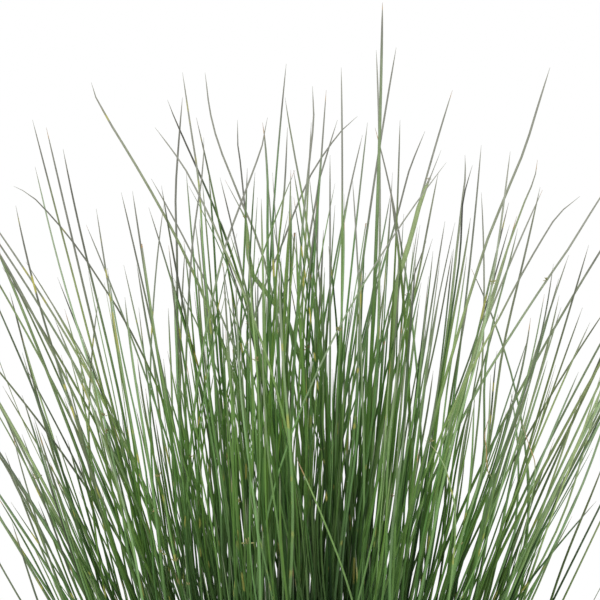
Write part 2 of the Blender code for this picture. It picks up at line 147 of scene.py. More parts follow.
# Leading stems in the front view: tip to the right of the middle and above the mix, the same for a point
# lower down, thickness, and tip bend.
LEADERS = (
    # left side
    (-214, 648, -185, 536, 3.0, 2), (-203, 642, -178, 536, 3.2, 2), (-229, 595, -160, 519, 2.8, 6),
    (-167, 678, -90, 536, 4.2, 2), (-171, 564, -145, 500, 2.8, 2), (-163, 577, -150, 495, 2.8, 2),
    (-143, 590, -120, 490, 3.0, 2), (-134, 591, -121, 505, 3.2, 2), (-121, 578, -98, 503, 3.0, 2),
    (-109, 580, -118, 490, 2.6, 2), (-119, 601, -82, 532, 3.0, 2), (-94, 666, -98, 535, 3.4, 2),
    (-94, 686, -80, 560, 3.2, 2), (-106, 664, -62, 562, 3.2, 3), (-116, 642, -64, 552, 3.0, 3),
    (-91, 606, -86, 548, 2.8, 2), (-83, 650, -62, 552, 3.0, 3),
    (-278, 602, -186, 462, 3.2, 2), (-266, 600, -206, 457, 4.4, 2), (-270, 566, -172, 385, 3.2, 2),
    (-274, 486, -165, 345, 3.0, 2), (-194, 522, -170, 460, 2.6, 2), (-207, 516, -176, 460, 2.8, 2),
    (-141, 532, -126, 466, 2.6, 2), (-129, 498, -122, 440, 2.6, 2), (-161, 506, -168, 440, 2.6, 2),
    (-220, 451, -185, 385, 2.8, 2), (-176, 466, -170, 400, 2.6, 2), (-284, 500, -195, 330, 3.6, 2),
    (-296, 512, -185, 320, 4.2, 2), (-230, 397, -205, 310, 2.8, 2), (-302, 462, -180, 285, 3.4, 2),
    (-300, 430, -205, 270, 3.2, 2), (-292, 386, -222, 262, 2.8, 2), (-316, 452, -222, 320, 3.4, 2),
    (-304, 416, -212, 288, 3.6, 2), (-290, 452, -188, 300, 3.4, 2), (-288, 402, -202, 268, 3.4, 2),
    # middle
    (-76, 686, -33, 552, 3.4, 3), (-77, 634, -86, 552, 2.8, 2), (-64, 602, -52, 552, 2.8, 2),
    (-50, 648, -42, 556, 3.0, 2), (-26, 650, -58, 554, 3.2, 2), (-30, 646, -26, 552, 4.2, 2),
    (-11, 693, -22, 560, 3.2, 2), (-12, 666, 2, 588, 3.0, 2), (-10, 642, -17, 552, 3.2, 2),
    (-4, 608, -20, 568, 2.6, 2), (-36, 606, -39, 560, 2.8, 2), (-60, 600, -43, 566, 3.6, 2),
    (10, 675, 2, 564, 3.4, 2), (21, 672, 14, 572, 3.2, 2), (9, 646, 7, 604, 2.8, 2),
    (30, 648, 10, 566, 3.2, 3), (46, 651, -13, 552, 3.0, 3), (33, 690, 34, 568, 3.2, 2),
    (24, 620, 24, 560, 2.8, 2), (-5, 586, 2, 540, 2.6, 2), (40, 592, 30, 536, 2.8, 2),
    # right of the middle
    (66, 742, 62, 584, 4.8, 2), (61, 704, 64, 600, 3.4, 2), (77, 706, 57, 584, 3.4, 2),
    (60, 642, 74, 584, 3.0, 2), (100, 639, 82, 584, 3.2, 2), (122, 672, 96, 584, 3.6, 2),
    (113, 624, 97, 560, 3.8, 2), (80, 648, 78, 584, 3.0, 2), (54, 646, 47, 584, 3.0, 2),
    (50, 636, 38, 584, 3.0, 2), (132, 620, 126, 552, 4.2, 2), (138, 612, 131, 560, 3.0, 2),
    (145, 628, 138, 552, 3.2, 2), (145, 590, 147, 540, 2.8, 2),
    # right side
    (200, 690, 150, 552, 3.8, 2), (190, 616, 168, 552, 3.2, 2), (194, 592, 173, 545, 3.0, 2),
    (224, 587, 159, 489, 3.0, 3), (252, 604, 146, 439, 3.6, 2), (167, 582, 152, 520, 3.4, 2),
    (137, 529, 172, 433, 3.0, 2), (231, 548, 205, 460, 3.2, 2), (264, 580, 172, 424, 3.6, 2),
    (207, 521, 190, 460, 3.0, 2), (226, 498, 205, 440, 2.8, 2), (183, 475, 170, 436, 2.6, 2),
    (272, 482, 200, 345, 3.8, 2), (262, 506, 185, 330, 3.4, 2), (237, 343, 193, 291, 3.0, 2),
    (288, 434, 202, 264, 3.0, 2), (276, 404, 210, 264, 2.8, 2), (212, 365, 190, 300, 3.0, 2),
    (284, 528, 196, 372, 4.0, 2), (274, 508, 190, 330, 3.6, 2), (292, 518, 188, 318, 3.8, 2),
    (268, 494, 178, 290, 3.4, 2), (286, 548, 214, 420, 3.4, 2), (298, 500, 204, 340, 3.4, 2),
)


# ---- how the stems stand, as in the source

def smooth_step(share):
    share = min(1.0, max(0.0, share))
    return share * share * (3 - 2 * share)


class Stem:
    """One stem's path. Above the crown, x and y grow with the share t of its height as
    side + lean*t + bend*t**power; near its foot it stands in its own place in the fan of all the stems."""

    def __init__(self, place, root, tip, height, thickness, arch=0.5):
        self.place, self.root, self.height = place, root, height
        self.thickness, self.powers = thickness, [2, 2]
        reach = (tip[0] - root[0], tip[1] - root[1])
        self.bend = [arch * side for side in reach]
        self.lean = [side - bend for side, bend in zip(reach, self.bend)]

    def pass_through(self, x, height, power):
        """Bend the stem, side to side only, so that it passes x at this height; its tip stays."""
        share = (height - STOCK_HEIGHT) / (self.height - STOCK_HEIGHT)
        reach = self.lean[0] + self.bend[0]
        self.bend[0] = ((x - self.root[0]) - share * reach) / (share ** power - share)
        self.lean[0] = reach - self.bend[0]
        self.powers[0] = power

    def at(self, share):
        height = STOCK_HEIGHT + (self.height - STOCK_HEIGHT) * share
        free = smooth_step((height - FAN_LOW) / (FAN_HIGH - FAN_LOW))
        above = height - STOCK_HEIGHT
        path = []
        for middle, start, lean, bend, power in zip(self.place, self.root, self.lean, self.bend, self.powers):
            fan = middle * (1 + above / CROWN_OPENS) + (start - middle) * (1 + above / TUFT_OPENS)
            far = start + lean * share + bend * share ** power
            path.append(fan + (far - fan) * free)
        return Vector((*path, height))

    def shares(self):
        return NEEDLE if self.powers[0] < 4 else HOOKED

    def trace(self, levels):
        """Where the faceted stem is at each height, and how thick; no number above its tip."""
        stops = (0.0, *self.shares(), 1.0)
        places = [self.at(share) for share in stops]
        heights = [place.z for place in places]
        widths = [self.thickness * size for size in (SHEATH_WIDTH, *TAPER, 0.0)]
        x = np.interp(levels, heights, [place.x for place in places], right=np.nan)
        y = np.interp(levels, heights, [place.y for place in places], right=np.nan)
        width = np.interp(levels, heights, widths, right=np.nan)
        return np.stack((x, y, width))


def crown_places():
    """Centres of the tufts, spread evenly over the crown in a sunflower pattern."""
    for number in range(TUFTS):
        radius = CROWN_RADIUS * math.sqrt((number + 0.5) / TUFTS)
        angle = number * GOLDEN_ANGLE
        yield radius * math.cos(angle), radius * math.sin(angle)


def foot_of(leader):
    """Where a leading stem's foot is, side to side."""
    tip_x, tip_z, mid_x, mid_z = leader[:4]
    slope = (tip_x - mid_x) / (tip_z - mid_z)
    eased = 0.5 * mid_z + 0.5 * mid_z ** 2 / (tip_z + mid_z)
    landing = max(-1.0, min(1.0, (mid_x - slope * eased) / CROWN_RADIUS))
    return CROWN_RADIUS * (LANDING * landing + (1 - LANDING) * mid_x / FAN_WIDTH)


def share_out_leaders(places, leaders=LEADERS):
    """Give each leading stem to the tuft under its foot, so that no tuft gets many or spreads wide."""
    taken = [[] for _ in places]
    for leader in sorted(leaders, key=lambda row: -abs(foot_of(row))):
        foot = foot_of(leader)

        def cost(number):
            spread = max((abs(leader[0] - other[0]) for other in taken[number]), default=0.0)
            x, y = places[number]
            return (abs(x - foot) + DEPTH_COST * abs(y) + CROWD_COST * len(taken[number])
                    + SPREAD_COST * max(0.0, spread - FREE_SPREAD))

        taken[min(range(len(places)), key=cost)].append(leader)
    return taken


def clearance(trace, placed, tuft, levels):
    """Least room, over all heights, between a stem of this tuft and the stems already standing."""
    if not placed:
        return NO_NEIGHBOUR
    others = np.stack([other for _, other in placed])
    apart = np.hypot(others[:, 0] - trace[0], others[:, 1] - trace[1])
    room = apart - WIDTH_SHARE * (others[:, 2] + trace[2])
    own = np.array([number == tuft for number, _ in placed])
    room[np.ix_(own, levels < FUSED_BELOW)] = np.nan
    return float(np.nanmin(room)) if np.isfinite(room).any() else NO_NEIGHBOUR


def roots_of(place):
    """The six places on a rootstock where stems grow."""
    for side in range(STEMS_PER_TUFT):
        angle = 2 * math.pi * (side + 0.5) / STEMS_PER_TUFT
        yield place[0] + ROOT_RING * math.cos(angle), place[1] + ROOT_RING * math.sin(angle)


def natural_tip(place, rng):
    """Tip of a stem that no leader guides: it leans out in the way its place in the crown gives."""
    reach = rng.uniform(*NATURAL_REACH)
    height = rng.uniform(*NATURAL_HEIGHT) - NATURAL_LOSS * math.hypot(*place)
    return place[0] * reach, place[1] * reach, height


def as_seen(x, height, depth):
    """Where a point of the front view is, when it stands this far behind the middle of the clump."""
    nearness = 1 + depth / EYE_DISTANCE
    return x * nearness, EYE_HEIGHT + (height - EYE_HEIGHT) * nearness


def nearest_root(tuft, tip):
    """The free root on the side of the rootstock that the stem leans to."""
    x, y = tuft["place"]
    toward = (x + ROOT_SHIFT * (tip[0] - x), y + ROOT_SHIFT * (tip[1] - y))
    return min(tuft["free"], key=lambda root: math.dist(root, toward))


def leading_stem(tuft, leader, attempt, rng):
    """A stem that stands as its leader says in the front view; its depth is free."""
    tip_x, tip_z, mid_x, mid_z, thickness, power = leader
    depth = tuft["depth"] + rng.uniform(-1, 1) * (DEPTH_WANDER[0] + DEPTH_WANDER[1] * attempt)
    tip_x, tip_z = as_seen(tip_x, tip_z, depth)
    tip = (tip_x, depth)
    stem = Stem(tuft["place"], nearest_root(tuft, tip), tip, tip_z, thickness, LEADER_ARCH)
    mid_depth = stem.at(mid_z / tip_z).y
    stem.pass_through(*as_seen(mid_x, mid_z, mid_depth), power)
    return stem


def kept_near(tip, height, guide, rng):
    """The tip, drawn in to within TUFT_REACH of where the guide is at this height."""
    beside = guide.at(min(1.0, (height - STOCK_HEIGHT) / (guide.height - STOCK_HEIGHT)))
    away = math.dist(tip, (beside.x, beside.y))
    if away <= TUFT_REACH:
        return tip
    kept = rng.uniform(0.7, 1.0) * TUFT_REACH / away
    return beside.x + (tip[0] - beside.x) * kept, beside.y + (tip[1] - beside.y) * kept


def filling_stem(tuft, guides, attempt, rng):
    """A shorter stem that leans much as one of its tuft's leading stems does."""
    x, y = tuft["place"]
    root = tuft["free"][0]
    wander = FILLER_WANDER[0] + FILLER_WANDER[1] * attempt
    guide = rng.choice(guides) if guides else None
    if guide and rng.random() > abs(y) / LEADERLESS:
        share = rng.uniform(*FILLER_SHARE) * min(1.0, FILLER_TOP / guide.height)
        top = guide.at(1.0)
        lean = share * (0.5 + 0.5 * share)
        tip_x, tip_y = x + (top.x - x) * lean, y + (tuft["depth"] - y) * lean
        height = guide.height * share
    else:
        tip_x, tip_y, height = natural_tip(tuft["place"], rng)
    tip = (tip_x + TIP_SPREAD * (root[0] - x) + rng.uniform(-wander, wander),
           tip_y + TIP_SPREAD * (root[1] - y) + rng.uniform(-wander, wander))
    if guide:
        tip = kept_near(tip, height, guide, rng)
    thickness = STEM_FOOT * rng.uniform(*FILLER_SIZE)
    return Stem(tuft["place"], root, tip, height, thickness, rng.uniform(*FILLER_ARCH))


def grow_clump(rng):
    """All stems, tuft by tuft. Each keeps clear of those before it; leaders grow first."""
    places = list(crown_places())
    leaders = share_out_leaders(places)
    levels = np.arange(LOWEST_LEVEL, HIGHEST_LEVEL, LEVEL_STEP)
    placed = []
    tufts = [{"place": place, "stems": [], "free": list(roots_of(place)),
              "depth": place[1] * rng.uniform(*TUFT_DEPTH) + rng.uniform(-TUFT_SHIFT, TUFT_SHIFT)}
             for place in places]

    def settle(number, propose, needed):
        """Keep the first proposed stem with room enough; one that isn't needed goes if it would touch."""
        best_room = -math.inf
        for attempt in range(TRIES):
            stem = propose(attempt)
            trace = stem.trace(levels)
            room = clearance(trace, placed, number, levels)
            if room > best_room:
                best_room, best, best_trace = room, stem, trace
            if room > CLEAR:
                break
        tufts[number]["free"].remove(best.root)
        if needed or best_room > 0.0:
            tufts[number]["stems"].append(best)
            placed.append((number, best_trace))

    for number, tuft in enumerate(tufts):
        for leader in leaders[number]:
            settle(number, lambda attempt: leading_stem(tuft, leader, attempt, rng), True)
    for number, tuft in enumerate(tufts):
        guides = list(tuft["stems"])
        while tuft["free"]:
            settle(number, lambda attempt: filling_stem(tuft, guides, attempt, rng), False)
    return tufts


@functools.lru_cache(maxsize=1)
def standing_clump():
    return grow_clump(random.Random(STEM_SEED))


# ---- node trees

class Wire:
    """A node's output. Sums of wires and numbers add Math nodes; every other node comes from `node`."""

    def __init__(self, tree, socket=None):
        self.tree, self.socket = tree, socket

    def node(self, kind, settings=(), inputs=(), output=0):
        """Add a node of any kind: its settings first, then a value or a link for each input named."""
        made = self.tree.nodes.new(kind)
        for name, value in dict(settings).items():
            setattr(made, name, value)
        for name, value in dict(inputs).items():
            if isinstance(value, Wire):
                self.tree.links.new(value.socket, made.inputs[name])
            else:
                made.inputs[name].default_value = value
        return Wire(self.tree, made.outputs[output])

    def maths(self, operation, *others):
        return self.node("ShaderNodeMath", {"operation": operation}, enumerate((self, *others)))

    __add__ = __radd__ = functools.partialmethod(maths, "ADD")
    __mul__ = __rmul__ = functools.partialmethod(maths, "MULTIPLY")
    __sub__ = functools.partialmethod(maths, "SUBTRACT")
    __truediv__ = functools.partialmethod(maths, "DIVIDE")
    __pow__ = functools.partialmethod(maths, "POWER")

    def __rsub__(self, other):
        return self.node("ShaderNodeMath", {"operation": "SUBTRACT"}, {0: other, 1: self})

    def eased(self, low, high):
        """0 at low, 1 at high, and a smooth step between them."""
        return self.node("ShaderNodeMapRange", {"interpolation_type": "SMOOTHSTEP"},
                         {"Value": self, "From Min": low, "From Max": high}, "Result")

    def between(self, first, second):
        """A colour from first, where this is 0, to second, where it is 1."""
        first, second = (side if isinstance(side, Wire) else (*side, 1.0) for side in (first, second))
        return self.node("ShaderNodeMix", {"data_type": "RGBA"}, {0: self, 6: first, 7: second}, 2)

    def lit(self, amount):
        """This colour times a number."""
        return self.node("ShaderNodeVectorMath", {"operation": "SCALE"}, {0: self, "Scale": amount})

    def times(self, factors):
        """This position or colour, times a factor for each axis or channel."""
        return self.node("ShaderNodeVectorMath", {"operation": "MULTIPLY"}, {0: self, 1: factors})

    def axis(self, number):
        return self.node("ShaderNodeSeparateXYZ", {}, {0: self}, number)

    def attribute(self, name):
        return self.node("ShaderNodeAttribute", {"attribute_name": name}, {}, "Fac")

    def grain(self, scale, detail=2.0, roughness=0.5, upright=1.0):
        """Noise over this position, drawn out along Z where upright is small."""
        place = self if upright == 1.0 else self.times((1, 1, upright))
        return place.node("ShaderNodeTexNoise", {},
                          {"Vector": place, "Scale": scale, "Detail": detail, "Roughness": roughness}, "Fac")


def new_material(name, roughness=0.5):
    """A material, a wire with the place on the object, and its shader."""
    made = bpy.data.materials.new(name)
    made.use_nodes = True
    shader = made.node_tree.nodes["Principled BSDF"]
    shader.inputs["Roughness"].default_value = roughness
    return made, Wire(made.node_tree).node("ShaderNodeTexCoord", {}, {}, "Object"), shader


def shaded(colour, share):
    return [share * side for side in colour]


def feed(shader, **sockets):
    """Link wires to the shader's sockets, with _ for a space in their names."""
    for name, wire in sockets.items():
        wire.tree.links.new(wire.socket, shader.inputs[name.replace("_", " ")])


def relief(height, strength, distance):
    """A bump from a height, in metres at full strength."""
    return height.node("ShaderNodeBump", {}, {"Height": height, "Strength": strength, "Distance": distance},
                       "Normal")


def read_from(wire, name, kind="FLOAT"):
    """What a point of the geometry has stored under this name."""
    return wire.node("GeometryNodeInputNamedAttribute", {"data_type": kind}, {"Name": name})


def geometry_tree(name, sockets):
    """A Geometry Nodes tree with a geometry input and the named inputs, given as (name, type, default)."""
    tree = bpy.data.node_groups.new(name, "GeometryNodeTree")
    tree.interface.new_socket("Geometry", in_out="INPUT", socket_type="NodeSocketGeometry")
    tree.interface.new_socket("Geometry", in_out="OUTPUT", socket_type="NodeSocketGeometry")
    for title, kind, default in sockets:
        socket = tree.interface.new_socket(title, in_out="INPUT", socket_type="NodeSocket" + kind)
        if default is not None:
            socket.default_value = default
    entry = tree.nodes.new("NodeGroupInput")
    wires = {socket.name: Wire(tree, socket) for socket in entry.outputs if socket.name}
    return tree, wires


def finish_tree(tree, geometry, material):
    """End a tree: real geometry, smooth, with its material."""
    real = geometry.node("GeometryNodeRealizeInstances", {}, {"Geometry": geometry})
    smooth = real.node("GeometryNodeSetShadeSmooth", {}, {"Geometry": real})
    dressed = smooth.node("GeometryNodeSetMaterial", {}, {"Geometry": smooth, "Material": material})
    leave = tree.nodes.new("NodeGroupOutput")
    tree.links.new(dressed.socket, leave.inputs[0])
    return tree


def plain(made):
    """Make an object's evaluated shape its own mesh, and take its modifiers off."""
    graph = bpy.context.evaluated_depsgraph_get()
    mesh = bpy.data.meshes.new_from_object(made.evaluated_get(graph), depsgraph=graph)
    made.modifiers.clear()
    old, made.data = made.data, mesh
    mesh.name = made.name
    bpy.data.meshes.remove(old)
    return made


def run_tree(source, tree, values):
    """Run a tree on an object, and leave its result as the object's own plain mesh."""
    modifier = source.modifiers.new(tree.name, "NODES")
    modifier.node_group = tree
    for socket in tree.interface.items_tree:
        if socket.in_out == "INPUT" and socket.name in values:
            modifier[socket.identifier] = values[socket.name]
    if not len(plain(source).data.polygons):
        raise RuntimeError(f"{source.name}: {tree.name} made nothing")
    return source


def mesh_of(bm, name):
    mesh = bpy.data.meshes.new(name)
    bm.to_mesh(mesh)
    bm.free()
    return mesh


def link(name, data):
    made = bpy.data.objects.new(name, data)
    bpy.context.scene.collection.objects.link(made)
    return made


def settle_piece(piece, slot, *nodes):
    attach(piece, "root")
    if nodes:
        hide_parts(*nodes)
    return piece


# ---- strands

# Thin stems that the solids leave out, given in the front view as the leading stems are.
FINE_LEADERS = (
    (94, 562, 87, 513, 1.6, 2), (96, 564, 90, 522, 1.3, 2), (106, 553, 90, 500, 1.8, 2),
    (91, 550, 88, 520, 1.4, 2), (86, 545, 83, 504, 1.5, 2), (83, 573, 81, 541, 1.2, 2),
    (103, 523, 100, 495, 1.3, 2), (116, 567, 105, 500, 2.0, 2), (112, 536, 109, 513, 1.5, 2),
    (124, 566, 116, 530, 1.5, 2), (101, 551, 86, 508, 2.0, 4), (90, 520, 78, 392, 2.2, 2),
    (84, 530, 74, 392, 2.4, 2), (95, 500, 80, 392, 2.0, 2), (79, 515, 70, 400, 2.4, 2),
    (117, 614, 78, 560, 1.6, 2), (-256, 580, -206, 506, 2.2, 2), (-250, 560, -214, 488, 2.0, 2),
    (-244, 548, -206, 478, 2.4, 2), (-238, 530, -200, 470, 2.2, 2), (215, 540, 192, 472, 2.0, 2),
    (247, 500, 208, 440, 2.0, 2), (232, 486, 197, 408, 2.0, 2), (-92, 545, -96, 430, 2.0, 2),
    (-100, 520, -97, 420, 2.2, 2), (-36, 520, -32, 420, 2.2, 2), (-30, 530, -28, 430, 2.4, 2),
    (-42, 505, -36, 410, 2.0, 2), (-26, 512, -30, 420, 2.0, 2), (-12, 530, -14, 430, 2.4, 2),
    (-18, 520, -12, 425, 2.0, 2), (7, 606, 10, 578, 1.5, 2), (28, 597, 21, 562, 1.3, 2),
    (-34, 586, -36, 552, 1.4, 2), (-22, 606, -20, 575, 1.2, 2), (-9, 575, -13, 556, 1.4, 2),
    (15, 592, 14, 552, 1.8, 2), (28, 580, 26, 550, 1.5, 2), (-8, 564, -4, 545, 1.3, 2),
    (-22, 568, -18, 545, 1.7, 2), (-25, 594, -23, 560, 2.4, 2), (-31, 585, -30, 540, 2.4, 2),
    (74, 606, 73, 588, 1.3, 2), (72, 594, 76, 566, 2.8, 2), (72, 576, 70, 548, 1.6, 2),
    (42, 600, 45, 555, 1.8, 2), (-78, 598, -75, 562, 1.8, 2), (-213, 406, -190, 330, 2.2, 2),
    (-209, 399, -178, 300, 2.4, 2), (-196, 380, -165, 280, 2.4, 2), (-236, 382, -205, 300, 2.2, 2),
    (-186, 392, -160, 300, 2.4, 2), (-225, 362, -190, 270, 2.4, 2), (-204, 372, -176, 280, 2.4, 2),
    (-178, 380, -152, 290, 2.4, 2),
)
# Points of the front view that some leading stems are drawn aside to, by the stem's tip; highest first.
DRAWN_ASIDE = {
    (-167, 678): ((-163.1, 665.3), (-154.4, 650.0), (-149.6, 641.6)),
    (-106, 664): ((-100.4, 649.3), (-90.3, 626.7), (-78.4, 600.0), (-72.3, 586.7)),
    (-116, 642): ((-98.5, 618.7), (-93.1, 610.7), (-87.7, 601.3), (-82.0, 590.0)),
    (-94, 686): ((-87.3, 640.0), (-84.0, 620.0), (-81.3, 600.0), (-79.7, 580.0)),
    (-77, 634): ((-77.0, 620.0), (-78.9, 600.0), (-81.0, 586.7)),
    (-76, 686): ((-72.7, 658.0), (-69.3, 642.7), (-64.7, 626.7), (-58.7, 612.0), (-52.7, 597.3),
                 (-48.7, 586.7)),
    (-229, 595): ((-216.0, 588.8),), (200, 690): ((180.8, 625.6),), (224, 587): ((206.4, 572.8),),
    (252, 604): ((216.0, 547.0),), (46, 651): ((32.0, 638.4), (16.0, 616.0), (8.7, 604.0)),
    (10, 675): ((11.2, 648.0),), (-94, 666): ((-99.4, 590.0),),
    (-26, 650): ((-30.7, 625.3), (-37.3, 608.0), (-44.0, 590.0)),
    (-50, 648): ((-49.7, 628.0), (-47.7, 614.7)), (-30, 646): ((-28.0, 632.0), (-26.7, 614.7), (-25.7, 594.7)),
    (-12, 666): ((-9.3, 648.0), (-4.0, 618.0)), (-10, 642): ((-11.3, 611.4), (-12.7, 589.4)),
    (30, 648): ((18.7, 610.7), (15.3, 600.0), (13.7, 588.0)), (100, 639): ((92.0, 620.0), (87.0, 607.0)),
    (-60, 600): ((-43.0, 568.0), (-41.0, 528.0)),
    (113, 624): ((104.4, 602.7), (98.7, 589.3), (94.2, 576.0), (89.8, 558.2), (84.4, 539.5), (77.6, 520.0),
                 (75.2, 490.4)),
    (132, 620): ((132.3, 602.7), (129.6, 582.7)), (138, 612): ((132.5, 593.5), (130.0, 581.0)),
    (190, 616): ((188.4, 604.0), (184.7, 593.3), (180.0, 582.7)),
}
# Clear places in the front view, which the stems that fill the clump leave more open: the middle, how far
# it leans for each millimetre of height, half the width and height, and how far stems are drawn aside.
CLEAR_PLACES = ((136, 380, 0.3, 8.0, 60.0, 6.0), (167, 455, 0.25, 9.0, 80.0, 7.0))
# Stems with a bud below their tip: how high it is, and how thick the stem is under it.
BUDDED = {(113, 624): (602.0, 4.3), (-60, 600): (572.0, 4.2)}
# Flowers in the front view: to the right of the middle, above the mix, and size.
FLOWERS = (
    (-46.4, 317.6, 6), (-153.6, 412, 4), (-150.4, 399.2, 4), (-116.8, 367.2, 4), (-113.6, 340, 3.5),
    (-108.8, 307, 4), (-100.8, 301.6, 4), (-90.4, 284.8, 3), (-36, 457.6, 4), (32, 480, 4),
    (107, 395, 3.5), (126, 314, 4), (175, 394, 3), (104, 602, 3), (-44, 570, 3),
)
# Loose stems in front of the others, from the tip down in the front view, with thickness and looks.
LOOSE = (
    (((-3, 378), (16, 335), (37, 280), (52, 220), (60, 150), (62, 80), (60, 10)), 1.9, 0.95, 16.0, 0.0),
    (((-40, 349), (-22, 264), (-12, 190), (-5, 110), (0, 10)), 1.7, 0.85, 0.0, 0.3),
    (((154, 418), (148, 398), (149, 386), (150, 368), (154, 354), (146, 290), (125, 210), (95, 120), (66, 10)),
     1.2, 0.30, 55.0, 0.0),
    (((100, 392), (108, 384), (116, 370), (121, 352), (124, 335), (123, 300), (112, 220), (88, 120), (60, 10)),
     1.8, 0.90, 0.0, 0.7),
    (((176, 409), (184, 386), (188, 372), (186, 350), (175, 300), (150, 220), (110, 120), (68, 10)), 1.1, 0.60,
     40.0, 0.0),
)
# Share of the fine stems that are kept, from the left of the front view to its right.
FINE_SHARE = ((-230, -160, -110, -70, -30, 50, 70, 90, 150, 170, 230),
              (0.4, 0.4, 0.5, 0.8, 1, 1, 0.7, 0.05, 0.05, 0.3, 0.3))
STRAND_LOOKS = ("girth", "to_tip", "tint_and_light", "dry", "gold", "husk", "crowd")

TIP_EASE = 13.0  # how fast a stem thickens below its tip
TIP_RADIUS = 0.10
LONG_EASE = 280.0  # how far below its tip a stem has all of its thickness
UPPER_SHARE = 0.66  # share of its thickness that it has near its tip
SLIM_LEAST, SLIM_SHARE = 0.1, 0.62
RINGS_TO_TIP = 1.6  # how much closer rings stand near a stem's tip
SWAY_TURNS = (0.7, 1.6)
LEADER_SWAY = 0.8
FOOT_SUNK = 3.0  # how deep a stem's foot stands in its rootstock
ASIDE_BELOW = 40.0  # how far below the lowest given point a stem begins to be drawn aside
PUSH_PEAK = 1.65  # makes the greatest push out of a clear place the one that it gives
STRIP_EDGE = 0.04  # share of a UV strip left free at each side
STRIP_END = 0.01  # share of the UV map left free at its foot and top
CAP_WIDE, CAP_TALL = 0.3, 0.004
TWIST_SEED = 23
FINE_DEPTH = 60  # how freely the fine leading stems stand in depth, in tries
FINE_MARGIN = 6.0  # how far inside the clump's box the fine stems stay
FINE_TOP = 630.0  # most that a fine stem rises above the mix
FINE_TOP_LOSS = 130
FINE_HEIGHT = (0.40, 0.97)  # of the stem that it rises beside
FINE_WANDER = (5, 9, 16)  # how far aside fine stems end
FINE_STRAY = 80  # the same for those that stray, the more the shorter they are
FARTHEST = 1.7  # most times that distance
FINE_CURL = (0.4, 6)
FINE_FOOT = 2.6
THIN_CHANCE, THIN, FINE = 0.4, (0.8, 1.4), (1.5, 2.4)  # thicknesses of the fine stems
DRY_CHANCE, DRY_LENGTH = 0.11, (3, 12)
GOLD_CHANCE, GOLD_AMOUNT = 0.16, (0.4, 0.9)
LOST_CHANCE, LOST_LENGTH, LOST_DRY = 0.02, 60.0, 3.0  # stems that have lost their tip
# The middle and spread of each stem's random value, and the value of a budded stem. It sets the stem's hue,
# and also how much painted light or shade it gets.
TINT_AND_LIGHT_MIDDLE, TINT_AND_LIGHT_SPREAD = 0.5, 0.24
BUD_TINT_AND_LIGHT, BUD_NEEDLE, BUD_EASE = 0.8, 1.5, 7.0
SHEATH_LENGTH = (18, 82)
SHEATH_SHARES = (0.0, 0.12, 0.45, 0.75, 0.92, 1.0)
SHEATH_OVER = (0.75, 0.80, 0.60, 0.42, 0.22, -0.10)  # how far it stands off its stem at each
SHEATH_BROWN = (1.0, 1.0, 0.95, 0.75, 0.5, 0.35)  # how brown it is at each
STOCK_LEVELS = (-4.0, 0.0, 4.0, 8.0, 11.0, 13.0)
STOCK_SHAPE = (0.8, 1.0, 1.03, 0.96, 0.78, 0.40)  # a rootstock's radius at each level
STOCK_WANDER = 0.4
LONG_STRAND = 12  # a strand with more points than this is a stem
FRONT_FOOT = 68.0  # how far in front of the middle the loose stems' feet are
FRONT_LEAN = 0.36  # how much farther they are for each millimetre of height
LOOSE_CROWD = 0.5
LOOSE_RINGS = 14  # rings that a loose stem has more than others
FLOWER_NEAR = 2.0  # how near to a flower of size 1 its stem has to pass
SPARE_FLOWERS = 26  # flowers on other stems, all round
FLOWER_BELOW = (30, 120)  # how far below the tip of its stem a flower grows
LOWEST_FLOWER = 200
FLOWER_SIZE = (2.5, 5)
SPIKELETS = (7, 10)
SPIKELET_SIDES, SPIKELET_SLIMNESS = 5, 0.13
SPIKELET_TURN, SPIKELET_RISE = 1.1, (-0.2, 1.8)
SPIKELET_REACH, SPIKELET_SIZE = 0.35, (0.5, 0.9)
CROWD_REACH = 14.0  # how near another stem has to be to count as beside one
CROWD_STEP = 10.0
FLOWER_SEED = 8


class Strand:
    """A line of points, in millimetres, with its radius and its looks at each of them."""

    def __init__(self, points, radii, to_tip, tint_and_light=0.5, dry=0.0, gold=0.0, husk=0.0, crowd=1.0):
        self.points = points
        looks = (radii * MM, to_tip * MM, tint_and_light, dry * MM, gold, husk, crowd)
        self.looks = {name: np.broadcast_to(look, len(points)) for name, look in zip(STRAND_LOOKS, looks)}


def length_to_tip(points):
    steps = np.linalg.norm(np.diff(points, axis=0), axis=1)
    return np.concatenate((np.cumsum(steps[::-1])[::-1], [0.0]))


def needle_radii(thickness, to_tip, blunt=0.0):
    """A stem's radius: a little less toward the top, and then a needle's point."""
    slim = UPPER_SHARE + (1 - UPPER_SHARE) * np.minimum(1.0, to_tip / LONG_EASE)
    return np.maximum(TIP_RADIUS, 0.5 * thickness * slim * (1 - np.exp(-(to_tip + blunt) / TIP_EASE)))


def slimmed(thickness):
    """A stem's thickness, from that of its faceted solid."""
    return SLIM_LEAST + SLIM_SHARE * thickness


def stem_points(at, rings, sway, rng):
    """Points along a path, closer near its tip, that sways between its foot and its tip."""
    shares = 1 - (1 - np.linspace(0, 1, rings)) ** RINGS_TO_TIP
    points = np.array([at(share) for share in shares])
    window = np.sin(math.pi * shares) ** 2
    for axis in (0, 1):
        turns, start = rng.uniform(*SWAY_TURNS), rng.uniform(0, 2 * math.pi)
        points[:, axis] += sway * np.sin(2 * math.pi * turns * shares + start) * window
    points[0, 2] -= FOOT_SUNK
    points[:, 2] += MIX_TOP
    return points


def seen_heights(points, nearness):
    """Heights above the mix at which points are seen in the front view."""
    return EYE_HEIGHT + (points[:, 2] - MIX_TOP - EYE_HEIGHT) / nearness


